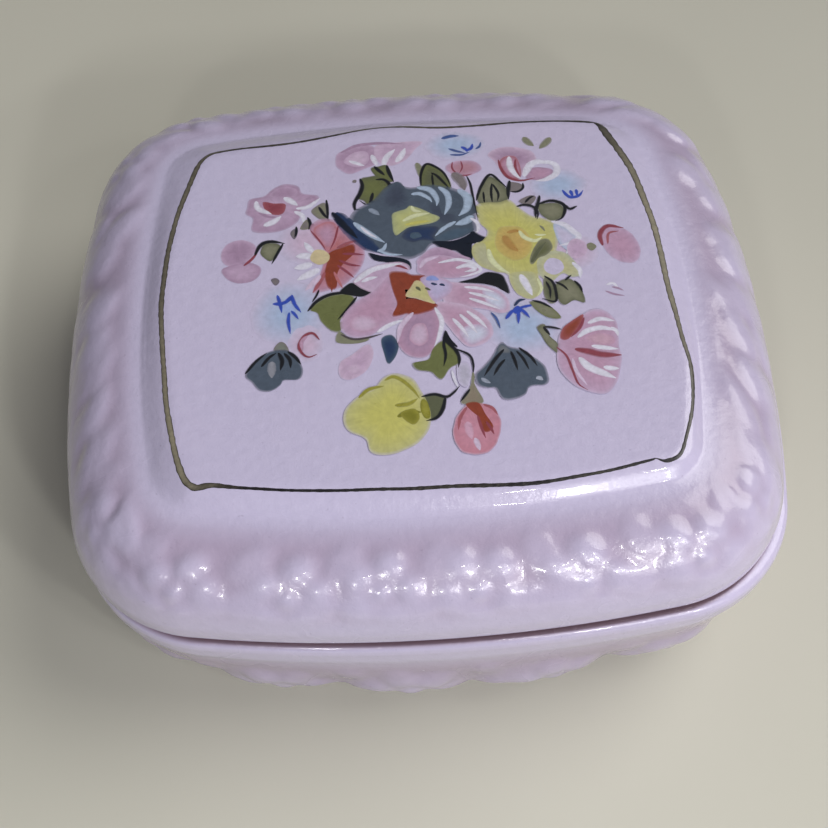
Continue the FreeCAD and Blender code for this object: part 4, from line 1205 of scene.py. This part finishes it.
LOWER_LEAVES = [
    ("patch", OLIVE, OLIVE, [(1.0, -7.8), (2.2, -6.9), (3.4, -8.4), (3.7, -9.8), (2.6, -10.6),
        (1.6, -11.9), (0.6, -10.9), (-0.8, -10.5), (-1.3, -9.6), (0.4, -9.2)]),
    ("patch", INK, INK, [(2.5, -5.5), (3.0, -6.7), (3.7, -7.9), (2.6, -7.3), (2.1, -6.9)]),
    ("patch", (190, 186, 206), GLAZE, [(3.4, -10.2), (4.6, -10.0), (4.8, -11.6), (4.2, -13.0),
        (3.4, -12.4)]),
    ("brush", INK, 0.4, [(2.4, -6.4), (2.2, -7.4), (2.3, -8.8), (2.0, -10.2)]),
    ("brush", INK, 0.5, [(2.4, -7.0), (3.4, -8.2), (3.7, -9.4), (3.5, -10.5)]),
    ("brush", INK, 0.34, [(3.5, -8.1), (4.8, -9.0), (5.1, -10.2), (5.0, -11.5)]),
    ("brush", WHITE, 0.35, [(2.8, -10.8), (3.0, -12.0), (3.3, -13.1)]),
    ("brush", OLIVE_GREY, 0.4, [(5.0, -11.2), (4.9, -12.2), (4.7, -13.2)]),
    ("patch", (146, 134, 118), OLIVE_GREY, [(4.8, -12.4), (5.2, -13.2), (5.8, -15.0), (4.6, -15.2),
        (3.4, -15.0), (4.2, -13.8)]),
    ("brush", INK, 0.36, [(4.5, -13.3), (3.9, -14.1), (3.4, -14.8)]),
]
YELLOW_LOWER = [
    ("patch", OLIVE_DARK, OLIVE_DARK, [(-0.6, -14.0), (0.8, -13.8), (1.9, -14.2), (1.6, -15.4),
        (0.8, -16.6), (-0.4, -16.9), (-0.8, -15.4)]),
    ("patch", YELLOW, YELLOW_SOFT, [(-6.8, -13.2), (-5.4, -12.4), (-4.4, -11.2), (-3.0, -10.8),
        (-1.4, -11.6), (-0.6, -13.0), (0.0, -14.6), (0.2, -16.6), (-0.2, -18.2), (-1.4, -19.6),
        (-3.2, -20.4), (-5.0, -20.7), (-6.2, -20.2), (-6.6, -18.6), (-8.2, -17.6), (-8.8, -16.2),
        (-8.4, -14.6)]),
    ("brush", MUSTARD, 0.5, [(-7.1, -13.6), (-6.0, -12.6), (-4.4, -12.3)]),
    ("brush", MUSTARD, 0.5, [(-4.3, -11.6), (-3.4, -11.2), (-2.4, -11.8), (-1.4, -13.0), (-0.8, -14.1)]),
    ("brush", MUSTARD, 0.6, [(-3.4, -14.8), (-2.0, -14.7), (-1.0, -14.1)]),
    ("brush", MUSTARD_DEEP, 0.7, [(-3.2, -16.2), (-2.0, -15.7), (-0.7, -15.8)]),
    ("patch", MUSTARD_DEEP, MUSTARD, [(-2.8, -15.7), (-1.4, -15.3), (-0.9, -16.4), (-1.6, -17.3),
        (-2.6, -16.5)]),
    ("patch", MUSTARD, MUSTARD_DEEP, [(-0.6, -14.2), (0.0, -14.6), (0.2, -16.4), (-0.4, -16.6),
        (-0.8, -15.4)]),
    ("brush", INK, 0.42, [(-0.6, -13.9), (0.8, -13.7), (2.0, -14.1), (2.8, -13.6), (3.5, -12.8)]),
    ("brush", INK, 0.5, [(1.9, -14.1), (1.5, -15.6), (0.8, -16.6), (-0.3, -16.9)]),
]
RED_BUD = [
    ("patch", (206, 146, 166), (200, 134, 152), [(4.2, -15.1), (5.4, -15.1), (6.7, -15.8), (7.3, -17.2),
        (7.1, -19.0), (6.2, -20.7), (4.6, -21.3), (3.0, -20.7), (2.3, -18.8), (2.7, -17.0),
        (3.4, -15.8)]),
    ("patch", RUST, RUST, [(3.9, -15.1), (5.2, -15.0), (5.8, -16.4), (6.5, -18.1), (5.6, -18.7),
        (5.2, -17.0), (4.4, -16.0)]),
    ("brush", RED_SOFT, 0.4, [(4.0, -15.5), (3.2, -16.8), (2.9, -18.2)]),
    ("brush", RED_SOFT, 0.4, [(5.7, -15.3), (6.6, -15.8), (7.1, -16.7)]),
    ("brush", RED, 0.36, [(5.0, -16.6), (5.3, -18.2), (5.6, -19.4)]),
    ("brush", RED, 0.36, [(5.8, -17.4), (6.2, -18.2), (6.5, -19.0)]),
    ("brush", (216, 172, 196), 0.95, [(3.9, -17.3), (4.0, -18.3), (4.2, -19.4)]),
    ("brush", ROSE_WHITE, 0.65, [(4.5, -19.3), (4.7, -20.0), (4.9, -20.8)]),
]

# painted in this order, from the bottom layer up
BOUQUET = {
    "washes": WASHES,
    "top_blossom": TOP_BLOSSOM,
    "bud_top": BUD_TOP,
    "blossom_top_right": BLOSSOM_TOP_RIGHT,
    "blue_sprigs": SPRIGS,
    "blossom_left": BLOSSOM_LEFT,
    "bud_left": BUD_LEFT,
    "leaf_bits": LEAF_BITS,
    "coral_daisy": DAISY,
    "leaves_top_left": LEAVES_TOP_LEFT,
    "leaves_top": LEAVES_TOP,
    "slate_peony": PEONY,
    "yellow_flower": YELLOW_FLOWER,
    "leaf_right": LEAF_RIGHT,
    "bud_right": BUD_RIGHT,
    "leaf_left": LEAF_LEFT,
    "lower_buds": LOWER_BUDS,
    "big_flower": BIG_FLOWER,
    "forget_me_nots": FORGET_ME_NOTS,
    "leaves_lower_right": LEAVES_RIGHT,
    "tulip": TULIP,
    "slate_bud_right": SLATE_BUD_RIGHT,
    "slate_bud_left": SLATE_BUD_LEFT,
    "red_curl": CURL,
    "lower_leaves": LOWER_LEAVES,
    "yellow_lower": YELLOW_LOWER,
    "red_bud": RED_BUD,
}

# how wide a brush mark is along its course, from where the brush lands to where it lifts
MARK = ([0.0, 0.08, 0.35, 0.7, 1.0], [0.25, 0.7, 1.0, 0.85, 0.12])
# points across a mark or a line, as shares of half its width
ACROSS = np.array([-1.0, -0.55, 0.0, 0.55, 1.0])
# distances between the points along a mark and along a shape's border
MARK_STEP = 0.2
BORDER_STEP = 0.25
# rings of a filled shape, as shares of its border
PATCH_RINGS = (1.0, 0.92, 0.72, 0.42)
# height of the paint above the glaze, and of one stroke above the one that it crosses
FIRST_LAYER = 0.012
LAYER = 0.001
# unevenness of the paint inside marks, shapes and the line, and how much darker a mark's edges are
MARK_GRAIN = 0.05
SHAPE_GRAIN = 0.03
MARK_EDGE_SHADE = 0.06
# farthest that a stroke reaches beyond its points
STROKE_MARGIN = 0.6
# how far the colour at the very edge of a shape has gone over into what is under it
EDGE_FADE = 0.5
# about a full turn, in radians
TURN = 6.28

BARE = np.array(linear(*GLAZE))


class Painting:
    """Strokes of one painted piece: flat shapes, later laid on the lid."""

    def __init__(self):
        self.points = []
        self.faces = []
        self.colours = []
        self.lifts = []

    def add(self, points, faces, colours, lift):
        """More points and faces. lift is their height above the glaze, one for all or one each."""
        first = sum(len(block) for block in self.points)
        self.points.append(points)
        self.faces += [tuple(first + i for i in face) for face in faces]
        self.colours.append(colours)
        self.lifts.append(np.full(len(points), lift))


def shaken(count, size, waves=(3, 5, 8, 13), fall=0.5):
    """Smooth unevenness round a loop of samples, as from a hand. fall weakens the shorter waves."""
    angle = np.linspace(0, 2 * math.pi, count, endpoint=False)
    total = np.zeros(count)
    for turns in waves:
        total += rng.normal() * np.sin(turns * angle + rng.uniform(0, TURN)) / turns**fall
    return size * total


def ribbon_faces(count, closed=False):
    """Quads along a ribbon that is as many points wide as ACROSS."""
    wide = len(ACROSS)
    faces = []
    for i in range(count if closed else count - 1):
        here, there = i * wide, (i + 1) % count * wide
        faces += [(here + j, here + j + 1, there + j + 1, there + j) for j in range(wide - 1)]
    return faces


def disc_faces(rings, around):
    """Faces of rings that shrink to a last point."""
    return ring_faces(rings, around) + fan_faces((rings - 1) * around, around, rings * around)


# outlines and colours of the strokes laid so far
laid_strokes = []


def within(ring, points):
    """Which of the points lie inside a closed ring."""
    after = np.roll(ring, -1, axis=0)
    x, y = points[:, :1], points[:, 1:]
    crossed = (ring[:, 1] > y) != (after[:, 1] > y)
    rise = np.where(after[:, 1] == ring[:, 1], 1.0, after[:, 1] - ring[:, 1])
    meets = ring[:, 0] + (y - ring[:, 1]) * (after[:, 0] - ring[:, 0]) / rise
    return (crossed & (x < meets)).sum(axis=1) % 2 == 1


def colour_under(points):
    """The colour already painted at each point, or that of the bare glaze."""
    colours = np.tile(BARE, (len(points), 1))
    low, high = points.min(axis=0), points.max(axis=0)
    for ring, colour in laid_strokes:
        if (ring.max(axis=0) > low).all() and (ring.min(axis=0) < high).all():
            colours[within(ring, points)] = colour
    return colours


def sunk(colours, points):
    """Colours at the very edge of a stroke, part way to what lies under them."""
    return colours * (1 - EDGE_FADE) + colour_under(points) * EDGE_FADE


def add_brush(painting, colour, width, course, lift):
    """A brush mark along a course of a few points."""
    length = np.linalg.norm(np.diff(course, axis=0), axis=1).sum()
    count = max(int(length / MARK_STEP), 7)
    line = rounded(course, count)
    ahead = np.gradient(line, axis=0)
    ahead /= np.linalg.norm(ahead, axis=1, keepdims=True)
    side = np.column_stack([-ahead[:, 1], ahead[:, 0]])
    half = width / 2 * through(*MARK, np.linspace(0, 1, count))[:, 0] * (1 + shaken(count, 0.05))
    points = line[:, None] + side[:, None] * (half[:, None] * ACROSS)[:, :, None]
    base = np.array(linear(*colour))
    shade = 1 + MARK_GRAIN * rng.normal(size=(count, len(ACROSS))) - MARK_EDGE_SHADE * np.abs(ACROSS)
    colours = np.ones((count, len(ACROSS), 4))
    colours[:, :, :3] = base[:3] * shade[:, :, None]
    for edge in (0, -1):
        colours[:, edge] = sunk(colours[:, edge], points[:, edge])
    laid_strokes.append((np.vstack([points[:, 0], points[::-1, -1]]), base))
    painting.add(points.reshape(-1, 2), ribbon_faces(count), colours.reshape(-1, 4), lift)


def add_patch(painting, colour, edge, border, lift):
    """A filled shape, its colour running from the middle to the edge."""
    border = np.asarray(border, float)
    length = np.linalg.norm(np.roll(border, -1, axis=0) - border, axis=1).sum()
    count = max(int(length / BORDER_STEP), 16)
    ring = rounded(border, count, closed=True)
    middle = ring.mean(axis=0)
    ring = middle + (ring - middle) * (1 + shaken(count, 0.012))[:, None]
    inner, outer = np.array(linear(*colour)), np.array(linear(*edge))
    points, colours = [], []
    for share in PATCH_RINGS:
        points.append(middle + (ring - middle) * share)
        blend = share**3
        row = np.tile(inner * (1 - blend) + outer * blend, (count, 1))
        row[:, :3] *= (1 + SHAPE_GRAIN * rng.normal(size=count))[:, None]
        if share == 1.0:
            row = sunk(row, ring)
        colours.append(row)
    laid_strokes.append((ring, outer))
    points = np.vstack(points + [middle])
    colours = np.vstack(colours + [inner])
    painting.add(points, disc_faces(len(PATCH_RINGS), count), colours, lift)


def add_wash(painting, colour, middle, size, lift):
    """A faint wash that fades into the glaze all round."""
    count = 48
    angle = np.linspace(0, 2 * math.pi, count, endpoint=False)
    ring = np.column_stack([np.cos(angle), np.sin(angle)]) * (1 + shaken(count, 0.05))[:, None] * size
    shares = np.linspace(1, 0.1, 10)
    points = np.vstack([middle + ring * share for share in shares] + [middle])
    strength = np.append(np.repeat(np.clip(1.15 * (1 - shares**1.5), 0, 1), count), 1.0)[:, None]
    colours = np.array(linear(*colour)) * strength + BARE * (1 - strength)
    painting.add(points, disc_faces(len(shares), count), colours, lift)


def lay_on_lid(surface, points, lifts):
    """Heights for flat points, so that they lie just above the lid."""
    above = 2 * TOP
    laid = []
    for (x, y), lift in zip(points, lifts):
        start = Vector((x + PAINT_SHIFT, y, above)) * MM
        hit, normal, *_ = surface.ray_cast(start, Vector((0, 0, -1)))
        laid.append(hit / MM + normal * lift)
    return np.array(laid)


def finish_painting(name, painting, surface, material):
    """The strokes as one piece that rides with the lid."""
    points = lay_on_lid(surface, np.vstack(painting.points), np.concatenate(painting.lifts))
    obj = make_piece(name, points, painting.faces, material, {"paint": np.vstack(painting.colours)})
    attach(obj, "lid_body")


def next_layer(layers, spots):
    """The layer of a stroke through these points: above all earlier strokes that it may cross."""
    low, high = np.min(spots, axis=0) - STROKE_MARGIN, np.max(spots, axis=0) + STROKE_MARGIN
    crossed = [layer for start, end, layer in layers if (end > low).all() and (start < high).all()]
    layers.append((low, high, max(crossed, default=0) + 1))
    return layers[-1][2]


def make_bouquet(surface):
    """Every flower, bud and leaf as a piece of its own."""
    layers = []
    for name, strokes in BOUQUET.items():
        painting = Painting()
        for kind, *stroke in strokes:
            add = {"patch": add_patch, "brush": add_brush, "wash": add_wash}[kind]
            spots = np.array(stroke[-1])
            if kind == "wash":
                spots = np.array(stroke[1]) + [spots, -spots]
            add(painting, *stroke, FIRST_LAYER + LAYER * next_layer(layers, spots))
        finish_painting("bouquet_" + name, painting, surface, enamel)


# ---------------------------------------------------------------- painted line

# course of the line round the panel, with its width and how much of the brown shows through the black
LINE = [
    (27.3, -2.0, 0.75, 0.8), (27.0, 8.0, 0.85, 0.9), (25.9, 16.0, 1.0, 0.7), (23.9, 21.8, 1.15, 0.3),
    (22.9, 24.2, 1.0, 0.1), (21.6, 24.35, 0.5, 0.1), (14.5, 25.0, 0.42, 0.1), (5.5, 24.6, 0.4, 0.3),
    (-3.0, 25.4, 0.42, 0.4), (-8.5, 24.5, 0.4, 0.2), (-14.0, 23.4, 0.42, 0.2), (-21.0, 23.0, 0.45, 0.2),
    (-23.9, 22.0, 0.6, 0.4), (-25.4, 18.6, 0.75, 0.5), (-27.0, 12.5, 0.7, 0.6), (-28.1, 3.0, 0.7, 0.5),
    (-27.8, -6.0, 0.65, 0.8), (-26.6, -15.5, 0.7, 1.0), (-25.3, -21.0, 0.75, 0.9), (-24.0, -22.9, 0.8, 0.5),
    (-22.0, -22.9, 0.6, 0.3), (-18.0, -23.6, 0.36, 0.0), (-8.0, -24.4, 0.36, 0.0), (2.0, -24.7, 0.45, 0.1),
    (9.0, -24.8, 0.45, 0.0), (16.0, -24.2, 0.38, 0.1), (21.6, -23.1, 0.34, 0.0),
    (22.4, -22.9, 0.12, 0.0), (23.4, -23.2, 0.42, 0.0), (24.9, -22.6, 0.42, 0.0), (25.9, -20.6, 0.4, 0.1),
    (27.2, -16.5, 0.42, 0.2), (27.9, -12.0, 0.5, 0.3), (27.6, -7.5, 0.55, 0.6),
]

# points along the line, its width against the table's, its height at its edges, its crown and its colours
LINE_POINTS = 900
LINE_WIDTH = 0.88
LINE_EDGE = 0.010
LINE_CROWN = 0.020
LINE_DARK = np.array(linear(26, 22, 26))
LINE_BROWN = np.array(linear(158, 150, 128))


def make_line(surface):
    """The hand-painted line: a thin raised ribbon of uneven width."""
    course = rounded(np.array(LINE), LINE_POINTS, closed=True)
    ahead = np.roll(course[:, :2], -1, axis=0) - np.roll(course[:, :2], 1, axis=0)
    ahead /= np.linalg.norm(ahead, axis=1, keepdims=True)
    side = np.column_stack([-ahead[:, 1], ahead[:, 0]])
    ragged = shaken(LINE_POINTS, 0.03, (37, 61, 97, 151, 211), fall=0)
    half = course[:, 2] * LINE_WIDTH / 2 * (1 + ragged)
    drift = shaken(LINE_POINTS, 0.03, (9, 17, 29), fall=0)
    middle = course[:, :2] + side * drift[:, None]
    flat = middle[:, None] + side[:, None] * (half[:, None] * ACROSS)[:, :, None]
    lifts = np.tile(LINE_EDGE + LINE_CROWN * (1 - ACROSS**2), LINE_POINTS)
    grain = MARK_GRAIN * rng.normal(size=(LINE_POINTS, len(ACROSS)))
    streak = np.clip(course[:, 3, None] * (1 - ACROSS**4) + grain, 0, 1)[:, :, None]
    colours = LINE_DARK * (1 - streak) + LINE_BROWN * streak
    painting = Painting()
    painting.add(flat.reshape(-1, 2), ribbon_faces(LINE_POINTS, closed=True), colours.reshape(-1, 4), lifts)
    finish_painting("painted_line", painting, surface, line_paint)


def paint_material(name, gloss, variation):
    """Fired-on paint in the colours of its strokes. variation is how dark its grain goes."""
    material, nodes, links, surface = new_material(name)
    strokes = nodes.new("ShaderNodeAttribute")
    strokes.attribute_name = "paint"
    grain = noise(nodes, links, 1500, 3)
    shade = ramp(nodes, links, grain, [(0.3, grey(variation)), (0.7, WHITE_LIGHT)])
    colour = mixed(nodes, links, "MULTIPLY", 1.0, strokes.outputs["Color"], shade)
    links.new(colour, surface.inputs["Base Color"])
    patchy = noise(nodes, links, 500, 2)
    links.new(spread(nodes, links, patchy, 0.3, 0.7, gloss, gloss + 0.14), surface.inputs["Roughness"])
    surface.inputs["Coat Weight"].default_value = 0.4
    surface.inputs["Coat Roughness"].default_value = 0.12
    bumps(nodes, links, grain, 0.00002, surface)
    return material


enamel = paint_material("enamel", 0.26, 0.86)
line_paint = paint_material("line_paint", 0.34, 0.72)


def lid_surface():
    """The lid's outside, for laying paint on."""
    mesh = lid_shell.data
    return BVHTree.FromPolygons([v.co for v in mesh.vertices], [p.vertices for p in mesh.polygons])


surface_of_lid = lid_surface()
make_bouquet(surface_of_lid)
make_line(surface_of_lid)

# ---------------------------------------------------------------- stage

FLOOR_DARK = linear(203, 201, 187)
FLOOR_LIGHT = linear(210, 208, 194)
SURROUND = linear(225, 225, 235)
SURROUND_STRENGTH = 0.13

SUN_PLACE = (390, 120, 450)
FRONT_PLACE = (170, -270, 230)
FRONT_AIM = (0, -10, 15)
GLINT_AIM = (0, -30, 20)
# small bright lights for the sparkle on the glazed relief: place and power
GLINTS = [
    ((90, -260, 200), 0.15), ((165, -235, 215), 0.11), ((-60, -275, 215), 0.12),
    ((50, -215, 285), 0.05), ((140, -185, 270), 0.05),
]
SENSOR = 36.0


def make_floor():
    """A plain pale tabletop."""
    material, nodes, links, surface = new_material("floor")
    cloud = noise(nodes, links, 12, 3)
    colour = ramp(nodes, links, cloud, [(0.3, FLOOR_DARK), (0.7, FLOOR_LIGHT)])
    links.new(colour, surface.inputs["Base Color"])
    links.new(spread(nodes, links, cloud, 0.3, 0.7, 0.75, 0.85), surface.inputs["Roughness"])
    reach = 6000.0
    corners = [(across * reach, along * reach, 0) for across, along in ((-1, -1), (1, -1), (1, 1), (-1, 1))]
    floor = make_piece("floor", corners, [(0, 1, 2, 3)], material)


def make_light(name, place, aim, size, power, colour):
    """A soft square light, in millimetres and watts."""
    data = bpy.data.lights.new(name, "AREA")
    data.shape = "SQUARE"
    data.size = size * MM
    data.energy = power
    data.color = colour
    light = bpy.data.objects.new(name, data)
    light.location = Vector(place) * MM
    light.rotation_euler = (Vector(place) - Vector(aim)).to_track_quat("Z", "Y").to_euler()
    bpy.context.scene.collection.objects.link(light)


def make_sun(place, spread_angle, power, colour):
    """The main light: soft, even, and from the direction of place."""
    data = bpy.data.lights.new("key", "SUN")
    data.angle = math.radians(spread_angle)
    data.energy = power
    data.color = colour
    light = bpy.data.objects.new("key", data)
    light.rotation_euler = Vector(place).to_track_quat("Z", "Y").to_euler()
    bpy.context.scene.collection.objects.link(light)


def make_world():
    """A plain, dim, even surround."""
    world = bpy.data.worlds.new("surround")
    world.use_nodes = True
    background = world.node_tree.nodes["Background"]
    background.inputs["Color"].default_value = SURROUND
    background.inputs["Strength"].default_value = SURROUND_STRENGTH
    bpy.context.scene.world = world


def make_camera(azimuth, elevation, roll, distance, aim, view_width):
    """A camera aimed at a point. Azimuth 0 is the front, and view_width is the width seen at the point."""
    turn, rise = math.radians(azimuth), math.radians(elevation)
    back = Vector((math.sin(turn) * math.cos(rise), -math.cos(turn) * math.cos(rise), math.sin(rise)))
    data = bpy.data.cameras.new("camera")
    data.sensor_width = SENSOR
    data.lens = SENSOR * distance / view_width
    data.clip_start = 0.01
    data.clip_end = 20.0
    camera = bpy.data.objects.new("camera", data)
    camera.location = (Vector(aim) + back * distance) * MM
    facing = back.to_track_quat("Z", "Y").to_matrix()
    tilt = facing @ Matrix.Rotation(math.radians(roll), 3, "Z")
    camera.rotation_euler = tilt.to_euler()
    bpy.context.scene.collection.objects.link(camera)
    bpy.context.scene.camera = camera


make_floor()
make_world()
make_sun(SUN_PLACE, spread_angle=45, power=1.45, colour=(1.0, 0.98, 0.95))
make_light("front", FRONT_PLACE, FRONT_AIM, size=200, power=0.22, colour=(0.98, 0.96, 1.0))
for number, (place, power) in enumerate(GLINTS):
    make_light("glint_%d" % number, place, GLINT_AIM, size=20, power=power, colour=(1.0, 1.0, 1.0))
make_camera(azimuth=-2.0, elevation=57.06, roll=-1.72, distance=155.6,
            aim=(-1.55, -4.73, 11.91), view_width=98.1)
bpy.context.scene.view_settings.view_transform = "Standard"
